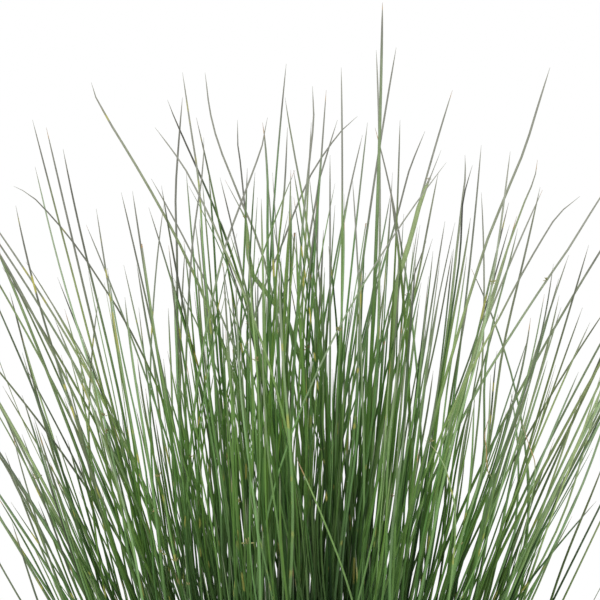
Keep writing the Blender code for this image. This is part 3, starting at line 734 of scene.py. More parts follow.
def drawn_aside(points, leader):
    """Draw a leading stem's upper part aside, so that it passes given points of the front view."""
    if leader[:2] not in DRAWN_ASIDE:
        return points
    nearness = 1 + points[-1, 1] / EYE_DISTANCE
    heights = seen_heights(points, nearness)
    seen = DRAWN_ASIDE[leader[:2]][::-1]
    shifts = [x * nearness - np.interp(height, heights, points[:, 0]) for x, height in seen]
    lowest = min(leader[3], seen[0][1] - ASIDE_BELOW)
    levels = [lowest, *(height for _, height in seen), leader[1]]
    moved = points.copy()
    moved[:, 0] += np.interp(heights, levels, [0.0, *shifts, 0.0])
    return moved


def drawn_out(points):
    """Draw a stem that fills the clump out of the clear places of the front view."""
    nearness = 1 + points[:, 1] / EYE_DISTANCE
    heights = seen_heights(points, nearness)
    moved = points.copy()
    for middle, level, lean, wide, tall, push in CLEAR_PLACES:
        near_by = np.exp(-((heights - level) / tall) ** 2)
        asides = (points[:, 0] / nearness - middle - lean * (heights - level)) / wide
        aside = (near_by * asides).sum() / max(near_by.sum(), 1e-9)
        moved[:, 0] += PUSH_PEAK * push * aside * np.exp(-0.5 * aside ** 2) * near_by
    return moved


def strand_mesh(name, strands, sides, tree, material):
    """One piece of all these strands, each a closed round tube, with a strip of its UV map for each."""
    points = np.concatenate([strand.points for strand in strands]) * MM
    counts = [len(strand.points) for strand in strands]
    mesh = bpy.data.meshes.new(name)
    firsts = np.cumsum([0] + counts[:-1])
    edges = np.concatenate([first + np.stack((np.arange(count - 1), np.arange(1, count)), axis=1)
                            for first, count in zip(firsts, counts)])
    mesh.from_pydata(points.tolist(), edges.tolist(), [])
    for look in STRAND_LOOKS:
        values = np.concatenate([strand.looks[look] for strand in strands]).astype(np.float32)
        mesh.attributes.new(look, "FLOAT", "POINT").data.foreach_set("value", values)
    made = run_tree(link(name, mesh), tree, {"Sides": sides, "Material": material})
    lay_strips(made.data, counts, sides)
    return made


def lay_strips(mesh, counts, sides):
    """The UV map OFBake, in which each strand has an upright strip of its own, with its caps at the ends."""
    ring = np.concatenate([np.arange(count) for count in counts]).repeat(sides)
    strand = np.arange(len(counts)).repeat(counts).repeat(sides)
    side = np.tile(np.arange(sides), sum(counts))
    share = ring / (np.array(counts)[strand] - 1)
    corners = np.empty(len(mesh.loops), dtype=np.int32)
    mesh.loops.foreach_get("vertex_index", corners)
    sizes = np.empty(len(mesh.polygons), dtype=np.int32)
    mesh.polygons.foreach_get("loop_total", sizes)
    face = np.repeat(np.arange(len(sizes)), sizes)
    caps = (sizes != 4)[face]
    around = side[corners].astype(float)
    last = np.zeros(len(sizes), dtype=bool)
    np.logical_or.at(last, face, around == sides - 1)
    around[last[face] & (around == 0) & ~caps] = sides
    wide = 1.0 / len(counts)
    u = (strand[corners] + STRIP_EDGE + (1 - 2 * STRIP_EDGE) * (around / sides)) * wide
    v = STRIP_END + (1 - 2 * STRIP_END) * share[corners]
    angle = 2 * np.pi * side[corners] / sides
    middle = np.where(share[corners] > 0.5, 1 - 0.5 * STRIP_END, 0.5 * STRIP_END)
    u = np.where(caps, (strand[corners] + 0.5 + CAP_WIDE * np.cos(angle)) * wide, u)
    v = np.where(caps, middle + CAP_TALL * np.sin(angle), v)
    layer = mesh.uv_layers.new(name="OFBake")
    layer.data.foreach_set("uv", np.stack((u, v), axis=1).astype(np.float32).ravel())
    mesh.uv_layers.active = layer


def strand_tree():
    """Each line of points becomes a round tube, as thick at each point as its girth says."""
    tree, wire = geometry_tree("Round strands", (("Sides", "Int", 8), ("Material", "Material", None)))
    start = wire["Geometry"]
    curve = start.node("GeometryNodeMeshToCurve", {}, {"Mesh": start})
    ring = start.node("GeometryNodeCurvePrimitiveCircle", {}, {"Resolution": wire["Sides"], "Radius": 1.0})
    tube = start.node("GeometryNodeCurveToMesh", {}, {
        "Curve": curve, "Profile Curve": ring, "Scale": read_from(start, "girth"), "Fill Caps": True})
    return finish_tree(tree, tube, wire["Material"])


# ---- settings

def colour(name, description, default):
    return FloatVectorProperty(name=name, description=description, default=default, size=3,
                               subtype="COLOR", min=0.0, max=1.0)


class ClumpSettings(bpy.types.PropertyGroup):
    sides: IntProperty(name="Sides", description="Flat sides round each stem", default=8, min=5, max=24)
    rings: IntProperty(name="Rings", description="Rings along each stem", default=26, min=8, max=80)
    fine_stems: IntProperty(name="Fine stems", description="Thin stems added to each tuft", default=18, min=0,
                            max=24)
    sway: FloatProperty(name="Sway", description="How far stems sway from an even curve", default=0.008,
                        min=0.0, max=0.03, unit="LENGTH")
    # Deep, fresh and airy green are partly the stems' own green and partly painted shade and light: deep
    # carries painted shade low in the clump and in its middle, airy the paler green of painted light on its
    # open outside.
    deep: colour("Deep green", "Stems low in the clump", (0.0165, 0.046, 0.0130))
    fresh: colour("Fresh green", "Stems halfway up", (0.078, 0.174, 0.030))
    airy: colour("Airy green", "Thick stems in the open", (0.228, 0.302, 0.148))
    shade: colour("Grey-green shade", "Lone stems low down", (0.095, 0.109, 0.075))
    upper: colour("Upper green", "Lone stems in the open", (0.187, 0.191, 0.161))
    tip: colour("Tip", "The last few centimetres of a stem", (0.21, 0.21, 0.165))
    gold: colour("Yellowing", "Patches on ageing stems", (0.35, 0.33, 0.075))
    dry: colour("Dry tip", "Tips that have dried", (0.33, 0.21, 0.090))
    husk: colour("Sheath", "Sheaths at the foot of the stems", (0.085, 0.055, 0.028))


class PotSettings(bpy.types.PropertyGroup):
    plastic: colour("Plastic", "Colour of the pot", (0.020, 0.021, 0.020))
    roughness: FloatProperty(name="Roughness", description="How matt the pot is", default=0.46, min=0.0,
                             max=1.0, subtype="FACTOR")
    facets: IntProperty(name="Facets", description="Facets round the pot", default=144, min=36, max=256)


class MixSettings(bpy.types.PropertyGroup):
    peat: colour("Peat", "Colour of the potting mix", (0.040, 0.026, 0.017))
    bark: colour("Bark", "Colour of the bark chips", (0.105, 0.060, 0.034))
    chip: FloatProperty(name="Chip size", description="Length of the largest chips", default=0.0085,
                        min=0.001, max=0.03, unit="LENGTH")
    chips: FloatProperty(name="Chips", description="Chips on each square metre", default=15000.0, min=0.0,
                         max=60000.0)


class StageSettings(bpy.types.PropertyGroup):
    glow: FloatProperty(name="Glow", description="How much light the white surround gives", default=0.7,
                        min=0.0, max=2.0)
    key: FloatProperty(name="Key light", description="Power of the large light on the left", default=95.0,
                       min=0.0, unit="POWER")
    fill: FloatProperty(name="Fill light", description="Power of the light on the right", default=60.0,
                        min=0.0, unit="POWER")
    back: FloatProperty(name="Back light", description="Power of the light behind", default=40.0, min=0.0,
                        unit="POWER")
    floor: FloatProperty(name="Floor radius", description="Radius of the floor", default=3.5, min=1.0,
                         unit="LENGTH")


class RushSettings(bpy.types.PropertyGroup):
    clump: PointerProperty(type=ClumpSettings, name="Clump", description="The stems")
    pot: PointerProperty(type=PotSettings, name="Pot", description="The pot")
    mix: PointerProperty(type=MixSettings, name="Potting mix", description="The mix and its bark")
    stage: PointerProperty(type=StageSettings, name="Stage", description="Floor, lights and camera")


# ---- materials

# Weights of how open a point stands, side to side and in depth. Painted shade darkens the clump's middle from
# them, and painted light pales its outside.
OPEN_ASIDE, OPEN_DEEP = 4.5, 2.0  # how fast a clump opens outward, side to side and in depth
BLUER, YELLOWER = (0.90, 0.99, 1.14), (1.12, 1.03, 0.84)
# Pale green of a painted sheen on the lightest stems.
PAINTED_SHEEN_GREEN = (0.24, 0.30, 0.20)
SCORCHED = (0.27, 0.20, 0.14)
STRAW_FOOT = (0.15, 0.12, 0.045)
PALE_SHEATH = (0.19, 0.14, 0.075)
DUST = (0.115, 0.095, 0.075)
PALE_FIBRE = (0.13, 0.085, 0.050)
FLOWER_STRAW, FLOWER_BROWN = (0.25, 0.27, 0.09), (0.20, 0.14, 0.06)
FLOOR_WHITES = (0.80, 0.80, 0.80), (0.84, 0.84, 0.84)


def rush_material(looks):
    """Green stems: deep at the foot, greyer in the open, pale at the tip, some yellowing or dry; with painted
    shade low in the clump and painted light and sheen on its outside.
    """
    made, place, shader = new_material("Rush stem", 0.42)
    shader.inputs["Specular IOR Level"].default_value = 0.10
    height = place.axis(2)
    girth, to_tip, tint_and_light, dry, gold, husk, crowd = (place.attribute(name) for name in STRAND_LOOKS)
    mottle = place.grain(190, 3.0, 0.6, 0.10)
    fleck = place.grain(420, 2.0, 0.5, 0.22)
    broad = place.grain(17, 2.0, 0.5, 0.6)
    streak = place.grain(900, 2.0, 0.5, 0.02)
    patch = place.grain(60, 1.0, 0.5, 1.1)
    fibre = place.grain(420, 4.0, 0.6, 0.05)

    # Painted shade and light, partly the stems' own colour: low down and in the middle of the clump, where
    # shade falls among the stems, they are mixed towards the dark deep green; higher and farther out, where
    # the light reaches, towards fresh and then the paler airy green.
    outward = place.node("ShaderNodeVectorMath", {"operation": "DOT_PRODUCT"},
                         {0: place, 1: place.times((OPEN_ASIDE, OPEN_DEEP, 0.0))}, "Value")
    open_air = height + outward
    rise = open_air + 0.09 * (tint_and_light - 0.5)
    green = rise.eased(0.34, 0.67).between(looks.deep, looks.fresh)
    green = ((rise + 0.5 * outward).eased(0.62, 0.93) * 0.9).between(green, looks.airy)
    green = green.times((tint_and_light * 7.31).maths("FRACT").between(BLUER, YELLOWER))
    # Thin stems that stand alone in the open are grey, most of all high up and low at the left.
    grey = height.eased(0.45, 0.85).between(looks.shade, looks.upper)
    thin = 1 - 0.8 * girth.eased(0.0008, 0.00135)
    lonely = (1 - crowd.eased(0.21, 0.55)) * open_air.eased(0.52, 0.66)
    low_left = place.axis(0).eased(-0.12, -0.20) * (1 - height.eased(0.54, 0.62))
    greyed = thin * lonely * (0.5 + 0.35 * low_left + 0.5 * height.eased(0.60, 0.74))
    green = greyed.between(green, grey)
    # Painted light and shade: each stem is made lighter or darker by its own random value, and along its
    # length by mottle, flecks and streaks. Besides the stems' own tone, these stand in for lit stems, dark
    # shadow lines between stems and small highlights.
    green = green.lit(0.40 + 0.98 * tint_and_light + 0.6 * (mottle - 0.5) + 0.4 * (fleck - 0.5) + 0.16 * (streak - 0.5)
                      + 0.5 * (broad - 0.5))
    # Painted sheen: the lightest stems are mixed towards a pale green, as light glancing off them would pale
    # them.
    green = (0.24 * tint_and_light.eased(0.4, 1.0) * (1 - greyed)).between(green, PAINTED_SHEEN_GREEN)
    green = (gold * patch.eased(0.60, 0.68)).between(green, looks.gold)
    green = ((1 - to_tip.eased(0.0, 0.030)) * 0.7).between(green, looks.tip)
    # The dry part of a tip: darkest at its very end.
    reach = to_tip / (dry + 0.0001)
    dried = (1 - reach.eased(0.75, 1.15)) * dry.eased(0.0005, 0.002)
    green = (dried * 0.92).between(green, reach.eased(0.05, 0.8).between(SCORCHED, looks.dry))
    green = ((1 - height.eased(0.200, 0.245)) * 0.65).between(green, STRAW_FOOT)
    whole = husk.between(green, fibre.eased(0.3, 0.75).between(looks.husk, PALE_SHEATH))
    ridged = relief(streak * 0.6 + fibre * 0.4 * husk + mottle * 0.15, 0.35, 0.0004)
    feed(shader, Base_Color=whole, Roughness=0.36 + 0.18 * mottle + 0.3 * husk + 0.2 * dried, Normal=ridged)
    return made


def pot_material(looks):
    """Moulded charcoal plastic: fine grain, faint upright flow marks, dust near the foot and on the lip."""
    made, place, shader = new_material("Pot plastic", looks.roughness)
    height = place.axis(2)
    fine, cloud = place.grain(1400), place.grain(22, 4.0, 0.6)
    flow, scuff = place.grain(160, 3.0, 0.55, 0.04), place.grain(70, 5.0, 0.7, 2.5)
    plastic = (0.5 * cloud + 0.5 * flow).between(shaded(looks.plastic, 0.82), shaded(looks.plastic, 1.3))
    dusty = (1 - height.eased(0.0, 0.05)) * 0.3 + height.eased(0.193, 0.200) * 0.35
    dust = dusty * cloud.eased(0.42, 0.70) + scuff.eased(0.66, 0.74) * 0.10
    feed(shader, Base_Color=dust.between(plastic, DUST),
         Roughness=looks.roughness + 0.16 * (cloud - 0.5) + 0.10 * (flow - 0.5) + 0.3 * dust,
         Normal=relief(fine * 0.6 + flow * 0.4, 0.30, 0.0003))
    return made


def mix_material(looks):
    """Dark peaty mix with paler fibres and crumbs."""
    made, place, shader = new_material("Potting mix", 0.95)
    crumb = place.node("ShaderNodeTexVoronoi", {"feature": "F1"}, {"Vector": place, "Scale": 420}, "Color")
    crumb = crumb.node("ShaderNodeSeparateColor", {}, {0: crumb}, 0)
    coarse, fine = place.grain(130, 4.0, 0.6), place.grain(700, 3.0, 0.6)
    tone = (coarse * 0.5 + crumb * 0.5).between(shaded(looks.peat, 0.5), shaded(looks.peat, 1.7))
    feed(shader, Base_Color=(fine.eased(0.60, 0.72) * 0.7).between(tone, PALE_FIBRE),
         Roughness=0.86 + 0.14 * coarse, Normal=relief(fine * 0.5 + crumb * 0.5, 0.8, 0.0012))
    return made


def bark_material(looks):
    """Bark chips, each with its own tone and a grain along it."""
    made, place, shader = new_material("Bark chips", 0.85)
    grain = place.times((1, 0.3, 1)).grain(800, 4.0, 0.6)
    tone = place.attribute("tone") * 0.7 + grain * 0.3
    feed(shader, Base_Color=tone.between(shaded(looks.bark, 0.45), shaded(looks.bark, 1.75)),
         Roughness=0.76 + 0.2 * grain, Normal=relief(grain, 0.6, 0.0006))
    return made


def flower_material():
    """Small rush flowers: straw, with brown ends."""
    made, place, shader = new_material("Rush flowers", 0.6)
    speck = place.grain(900)
    tone = place.attribute("tone") * 0.7 + speck * 0.3
    feed(shader, Base_Color=tone.between(FLOWER_STRAW, FLOWER_BROWN), Roughness=0.5 + 0.25 * speck,
         Normal=relief(speck, 0.4, 0.0003))
    return made


def floor_material():
    made, place, shader = new_material("Studio floor", 0.7)
    haze = place.grain(3.0, 3.0)
    feed(shader, Base_Color=haze.between(*FLOOR_WHITES), Roughness=0.62 + 0.12 * haze)
    return made


# ---- pot and potting mix

FOOT_EDGE = 2.5  # height of the rounded edge under the pot's wall
STEP = 0.7  # depth of the two steps moulded in its wall
STEP_HEIGHTS = (150.0, 30.0)
STEP_EDGE = 0.6  # how far a step's edge reaches above and below its height
STEP_BAND = 5.0  # height of the sunk band under a step
STEP_END = 6.4  # how far below a step the wall is whole again
ROUNDING = 1.4
MIX_EDGE_WIDTH = 12.0
MIX_EDGE_DEPTH = 9.0  # how far below the mix's top its wall begins
LUMPS = ((1.4, 3.0, 11.0), (0.8, 9.0, 4.2))  # height of the lumps, level in the noise, and width
CHIP_SHAPES = ((1.0, 0.55, 0.22), (0.8, 0.7, 0.30), (1.0, 0.32, 0.18))


def rounded(profile, radius, steps=4):
    """The profile with each inner corner turned into a short arc."""
    points = [Vector(point) for point in profile]
    result = [points[0]]
    for before, corner, after in zip(points, points[1:], points[2:]):
        reach = min(radius, 0.45 * (before - corner).length, 0.45 * (after - corner).length)
        start = corner + (before - corner).normalized() * reach
        end = corner + (after - corner).normalized() * reach
        for step in range(steps + 1):
            share = step / steps
            result.append(start.lerp(corner, share).lerp(corner.lerp(end, share), share))
    return result + [points[-1]]


def pot_inner_radius(height):
    """Radius of the pot's inner wall, below its shoulder."""
    share = (height - FLOOR) / (SHOULDER_HEIGHT - FLOOR)
    foot = BASE_RADIUS - WALL
    return foot + (SHOULDER_RADIUS - WALL - foot) * share


def outer_radius(height):
    """Radius of the pot's outer wall, below its shoulder."""
    share = (height - FOOT_EDGE) / (SHOULDER_HEIGHT - FOOT_EDGE)
    return BASE_RADIUS + (SHOULDER_RADIUS - BASE_RADIUS) * share


def turned(name, profile, facets):
    """Turn a profile of (radius, height) points round Z; it runs down the outer side."""
    bm = bmesh.new()
    points = [bm.verts.new((radius * MM, 0.0, height * MM)) for radius, height in profile]
    for start, end in zip(points, points[1:]):
        bm.edges.new((start, end))
    made = link(name, mesh_of(bm, name))
    screw = made.modifiers.new("Turn", "SCREW")
    screw.axis = "Z"
    screw.steps = screw.render_steps = facets
    screw.use_merge_vertices = True
    screw.merge_threshold = 0.00001
    return plain(made)


def drain_cutter():
    bm = bmesh.new()
    for number in range(DRAIN_HOLES):
        angle = 2 * math.pi * (number + 0.5) / DRAIN_HOLES
        outward = Vector((math.cos(angle), math.sin(angle), DRAIN_SLOPE)).normalized()
        hole = bmesh.ops.create_cone(bm, cap_ends=True, segments=28, depth=CUTTER_LENGTH * MM,
                                     radius1=DRAIN_RADIUS * MM, radius2=DRAIN_RADIUS * MM)["verts"]
        turn = outward.to_track_quat("Z", "Y").to_matrix()
        place = Vector((math.cos(angle), math.sin(angle), 0.0)) * BASE_RADIUS * MM
        bmesh.ops.rotate(bm, verts=hole, cent=(0, 0, 0), matrix=turn)
        bmesh.ops.translate(bm, verts=hole, vec=place + Vector((0, 0, DRAIN_HEIGHT * MM)))
    return link("drain_cutter", mesh_of(bm, "drain_cutter"))


def wall_profile():
    """Outer wall from the shoulder down, with two shallow steps as moulded pots have."""
    points = [(SHOULDER_RADIUS, SHOULDER_HEIGHT)]
    for height in STEP_HEIGHTS:
        radius = outer_radius(height)
        points += [(radius, height + STEP_EDGE), (radius - STEP, height - STEP_EDGE),
                   (outer_radius(height - STEP_BAND) - STEP, height - STEP_BAND),
                   (outer_radius(height - STEP_END), height - STEP_END)]
    return points


def lumpy_top(radius, angle):
    """Height of the potting mix, lumps and all."""
    place = Vector((radius * math.cos(angle), radius * math.sin(angle), 0.0))
    lumps = sum(rise * noise.noise((place + Vector((0, 0, level))) / width) for rise, level, width in LUMPS)
    return MIX_TOP - MIX_EDGE_DROP * smooth_step((radius - CROWN_FLAT) / MIX_EDGE_WIDTH) + lumps


def mix_mesh(name, rings=52, spokes=168):
    """A plug of potting mix: lumpy top, plain wall and base, closed."""
    rim = pot_inner_radius(SHOULDER_HEIGHT) - WALL_GAP
    base = pot_inner_radius(FLOOR + GAP) - WALL_GAP
    bm = bmesh.new()
    angles = [2 * math.pi * spoke / spokes for spoke in range(spokes)]

    def loop(radius, height=None):
        return [bm.verts.new((radius * math.cos(angle), radius * math.sin(angle),
                              lumpy_top(radius, angle) if height is None else height)) for angle in angles]

    middle = bm.verts.new((0, 0, lumpy_top(0, 0)))
    loops = [loop(rim * ring / rings) for ring in range(1, rings + 1)]
    loops += [loop(rim, MIX_TOP - MIX_EDGE_DEPTH), loop(base, FLOOR + GAP)]
    for spoke in range(spokes):
        after = (spoke + 1) % spokes
        bm.faces.new((middle, loops[0][spoke], loops[0][after]))
        for inner, outer in zip(loops, loops[1:]):
            bm.faces.new((inner[spoke], outer[spoke], outer[after], inner[after]))
    bm.faces.new(list(reversed(loops[-1])))
    bmesh.ops.scale(bm, verts=bm.verts, vec=(MM, MM, MM))
    mesh = mesh_of(bm, name)
    mesh.shade_smooth()
    mesh.set_sharp_from_angle(angle=math.radians(50))
    return mesh


def chip_tree():
    """Angular bark chips lie scattered over the mix, in three shapes, each with a tone of its own."""
    tree, wire = geometry_tree("Bark chips", (("Chips", "Float", 15000.0), ("Chip size", "Float", 0.0085),
                                              ("Seed", "Int", 4), ("Material", "Material", None)))
    start = wire["Geometry"]
    up = start.node("GeometryNodeInputNormal").axis(2)
    spread = start.node("GeometryNodeDistributePointsOnFaces", {"distribute_method": "RANDOM"},
                        {"Mesh": start, "Selection": up.maths("GREATER_THAN", 0.6),
                         "Density": wire["Chips"], "Seed": wire["Seed"]})
    shapes = start.node("GeometryNodeGeometryToInstance")
    position = start.node("GeometryNodeInputPosition")
    for number, size in enumerate(CHIP_SHAPES):
        block = start.node("GeometryNodeMeshCube", {}, {"Size": size, "Vertices X": 4, "Vertices Y": 3,
                                                        "Vertices Z": 2})
        shift = position.node("ShaderNodeTexNoise", {}, {"Vector": position, "Scale": 2.3 + number}, "Color")
        shift = shift.node("ShaderNodeVectorMath", {"operation": "SUBTRACT"}, {0: shift, 1: (0.5, 0.5, 0.5)})
        chip = block.node("GeometryNodeSetPosition", {}, {"Geometry": block, "Offset": shift.lit(0.9)})
        tree.links.new(chip.socket, shapes.socket.node.inputs[0])

    def draw(kind, low, high, seed):
        output = ("FLOAT_VECTOR", "FLOAT", "INT").index(kind)
        return start.node("FunctionNodeRandomValue", {"data_type": kind},
                          {2 * output: low, 2 * output + 1: high, "Seed": seed}, output)

    size = draw("FLOAT", 0.22, 1.0, 7)
    laid = start.node("GeometryNodeInstanceOnPoints", {}, {
        "Points": spread, "Instance": shapes, "Pick Instance": True, "Instance Index": draw("INT", 0, 2, 2),
        "Rotation": draw("FLOAT_VECTOR", (-0.45, -0.45, 0.0), (0.45, 0.45, 6.28), 3),
        "Scale": size * size * wire["Chip size"]})
    toned = start.node("GeometryNodeStoreNamedAttribute", {"data_type": "FLOAT", "domain": "INSTANCE"},
                       {"Geometry": laid, "Name": "tone", "Value": draw("FLOAT", 0.0, 1.0, 5)})
    return finish_tree(tree, toned, wire["Material"])


# ---- the clump's strands

def stock_strand(place, rng):
    stock = np.array([(place[0] + rng.uniform(-STOCK_WANDER, STOCK_WANDER),
                       place[1] + rng.uniform(-STOCK_WANDER, STOCK_WANDER), MIX_TOP + level)
                      for level in STOCK_LEVELS])
    return Strand(stock, np.array(STOCK_SHAPE) * STOCK_FOOT, length_to_tip(stock), husk=1.0)


def tuft_strands(tuft, rings, fine_stems, sway, rng):
    """All strands of one tuft: rootstock, stems with their sheaths, and fine stems between them."""
    strands = [stock_strand(tuft["place"], rng)]
    leaders = tuft["leaders"] + [None] * len(tuft["stems"])
    for stem, leader in zip(tuft["stems"], leaders):
        points = stem_points(stem.at, rings, LEADER_SWAY if leader else sway, rng)
        points = drawn_aside(points, leader) if leader else drawn_out(points)
        bud = BUDDED.get(leader[:2]) if leader else None
        strands += dressed_stem(points, slimmed(stem.thickness), rng, bool(leader), bud)
    for leader in tuft["fine_leaders"]:
        tuft["free"] = list(roots_of(tuft["place"]))
        stem = leading_stem(tuft, leader, FINE_DEPTH, rng)
        strands += dressed_stem(stem_points(stem.at, rings, LEADER_SWAY, rng), stem.thickness, rng, True)
    guides = sorted(tuft["stems"], key=lambda stem: stem.height)
    for _ in range(fine_stems):
        thickness = rng.uniform(*(THIN if rng.random() < THIN_CHANCE else FINE))
        points = drawn_out(fine_points(tuft, guides, rings - 4, sway, rng))
        side = points[len(points) // 2:, 0].mean()
        if rng.random() < np.interp(side, *FINE_SHARE):
            strands += dressed_stem(points, thickness, rng)
    return strands


@functools.lru_cache(maxsize=1)
def clump_strands(rings, fine_stems, sway):
    """The strands of every tuft, in a list for each."""
    rng = random.Random(TWIST_SEED)
    places = list(crown_places())
    leaders, fine_leaders = share_out_leaders(places), share_out_leaders(places, FINE_LEADERS)
    strands = []
    for number, tuft in enumerate(standing_clump()):
        tuft["leaders"], tuft["fine_leaders"] = leaders[number], fine_leaders[number]
        strands.append(tuft_strands(tuft, rings, fine_stems, sway, rng))
    mark_crowding(stems_among(strands))
    return strands


def stems_among(tufts):
    return [strand for strands in tufts for strand in strands if len(strand.points) > LONG_STRAND]


def mark_crowding(stems):
    """Note along each stem how close others stand: 0 for a lone one, and 1 in a thick bunch."""
    levels = np.arange(MIX_TOP, MIX_TOP + HIGHEST_LEVEL, CROWD_STEP)
    place = np.array([[np.interp(levels, stem.points[:, 2], side, right=np.nan)
                       for side in (stem.points[:, 0], stem.points[:, 1], stem.looks["girth"] / MM)]
                      for stem in stems])
    bunch = np.zeros((len(stems), len(levels)))
    for level in range(len(levels)):
        up = ~np.isnan(place[:, 2, level])
        x, y, radius = place[up, :, level].T
        near = np.exp(-((x[:, None] - x) ** 2 + (y[:, None] - y) ** 2) / CROWD_REACH ** 2)
        bunch[up, level] = near @ radius - radius
    for stem, row in zip(stems, bunch):
        stem.looks["crowd"] = np.minimum(1.0, 0.5 * np.sqrt(np.interp(stem.points[:, 2], levels, row)))


def budded_radii(to_tip, points, bud):
    """A thin needle above the bud, and a thick stem below it."""
    height, under = bud
    below = np.maximum(0.0, height - (points[:, 2] - MIX_TOP))
    return needle_radii(BUD_NEEDLE, to_tip) + 0.5 * (under - BUD_NEEDLE) * (1 - np.exp(-below / BUD_EASE))


def dressed_stem(points, thickness, rng, whole=False, bud=None):
    """A stem and the brown sheath round its foot. A few that aren't whole have lost their tip."""
    to_tip = length_to_tip(points)
    dry = rng.uniform(*DRY_LENGTH) if rng.random() < DRY_CHANCE else 0.0
    gold = rng.uniform(*GOLD_AMOUNT) if rng.random() < GOLD_CHANCE else 0.0
    blunt = LOST_LENGTH if rng.random() < LOST_CHANCE and not whole else 0.0
    # A random value for the stem: its hue, and its painted light or shade.
    tint_and_light = min(1.0, max(0.0, rng.gauss(TINT_AND_LIGHT_MIDDLE, TINT_AND_LIGHT_SPREAD)))
    radii = budded_radii(to_tip, points, bud) if bud else needle_radii(thickness, to_tip, blunt)
    stem = Strand(points, radii, to_tip, BUD_TINT_AND_LIGHT if bud else tint_and_light, dry or (LOST_DRY if blunt else 0.0), gold)
    levels = MIX_TOP + STOCK_HEIGHT - FOOT_SUNK + rng.uniform(*SHEATH_LENGTH) * np.array(SHEATH_SHARES)
    sheath = np.stack([np.interp(levels, points[:, 2], points[:, axis]) for axis in range(3)], axis=1)
    over = np.interp(levels, points[:, 2], radii) + SHEATH_OVER
    return [stem, Strand(sheath, over, length_to_tip(sheath), tint_and_light, husk=SHEATH_BROWN)]


def fine_points(tuft, guides, rings, sway, rng):
    """A thin stem that rises beside one of its tuft's stems, and ends a little lower."""
    guide = guides[min(len(guides) - 1, int(len(guides) * math.sqrt(rng.random())))]
    share = min(rng.uniform(*FINE_HEIGHT), (FINE_TOP - rng.uniform(0, FINE_TOP_LOSS)) / guide.height)
    wander = rng.choice((*FINE_WANDER, FINE_STRAY * (1.1 - share)))
    aside = [min(FARTHEST, max(-FARTHEST, rng.gauss(0, 1))) * wander for _ in "xy"]
    curl = (rng.gauss(0, FINE_CURL[0]) * wander, rng.gauss(0, FINE_CURL[1]))
    foot = [rng.uniform(-FINE_FOOT, FINE_FOOT) for _ in "xy"]
    limits = [(low / MM + FINE_MARGIN, high / MM - FINE_MARGIN) for low, high in zip(*CAD_BOX)]

    def at(part):
        point = guide.at(part * share)
        for axis in (0, 1):
            point[axis] += foot[axis] * (1 - part) + aside[axis] * part + curl[axis] * (part ** 2 - part ** 4)
            point[axis] = min(limits[axis][1], max(limits[axis][0], point[axis]))
        return point

    return stem_points(at, rings, sway, rng)


def smooth_path(knots, count):
    """Points on a smooth curve through the knots, evenly spread over their heights."""
    knots = np.array(knots, dtype=float)
    ends = np.concatenate(([2 * knots[0] - knots[1]], knots, [2 * knots[-1] - knots[-2]]))
    path = []
    for share in np.linspace(0, len(knots) - 1.001, count):
        first, part = int(share), share - int(share)
        before, start, end, after = ends[first:first + 4]
        path.append(0.5 * (2 * start + (end - before) * part
                           + (2 * before - 5 * start + 4 * end - after) * part ** 2
                           + (3 * start - before - 3 * end + after) * part ** 3))
    return np.array(path)


def loose_strands(rings):
    """The stems that have come loose and lean across the front of the clump."""
    strands = []
    for seen, thickness, tint_and_light, dry, gold in LOOSE:
        flat = smooth_path(seen[::-1], rings + LOOSE_RINGS)
        depth = -FRONT_FOOT - FRONT_LEAN * flat[:, 1]
        x, height = as_seen(flat[:, 0], flat[:, 1], depth)
        points = np.stack((x, depth, MIX_TOP + height), axis=1)
        to_tip = length_to_tip(points)
        strands.append(Strand(points, needle_radii(thickness, to_tip), to_tip, tint_and_light, dry, gold,
                              crowd=LOOSE_CROWD))
    return strands


def place_at(stem, height):
    """Where a stem is at this height above the mix."""
    return [float(np.interp(height, stem.points[:, 2] - MIX_TOP, stem.points[:, axis])) for axis in range(3)]


def flower_buds(tufts, rng):
    """Where each flower sits: on the foremost stem at its place in the front view."""
    stems = stems_among(tufts)
    buds = []
    for x, height, size in FLOWERS:
        places = []
        for stem in stems:
            seen_x = stem.points[:, 0] / (1 + stem.points[:, 1] / EYE_DISTANCE)
            heights = stem.points[:, 2] - MIX_TOP
            aside = abs(np.interp(height, heights, seen_x) - x)
            if heights[-1] > height and aside < FLOWER_NEAR * size ** 0.5:
                places.append(place_at(stem, height))
        if places:
            buds.append((min(places, key=lambda place: place[1]), size))
    for _ in range(SPARE_FLOWERS):
        stem = rng.choice(stems)
        away = rng.uniform(*FLOWER_BELOW)
        to_tip = stem.looks["to_tip"] / MM
        place = place_at(stem, float(np.interp(-away, -to_tip, stem.points[:, 2] - MIX_TOP)))
        if place[2] > MIX_TOP + LOWEST_FLOWER:
            buds.append((place, rng.uniform(*FLOWER_SIZE)))
    return buds


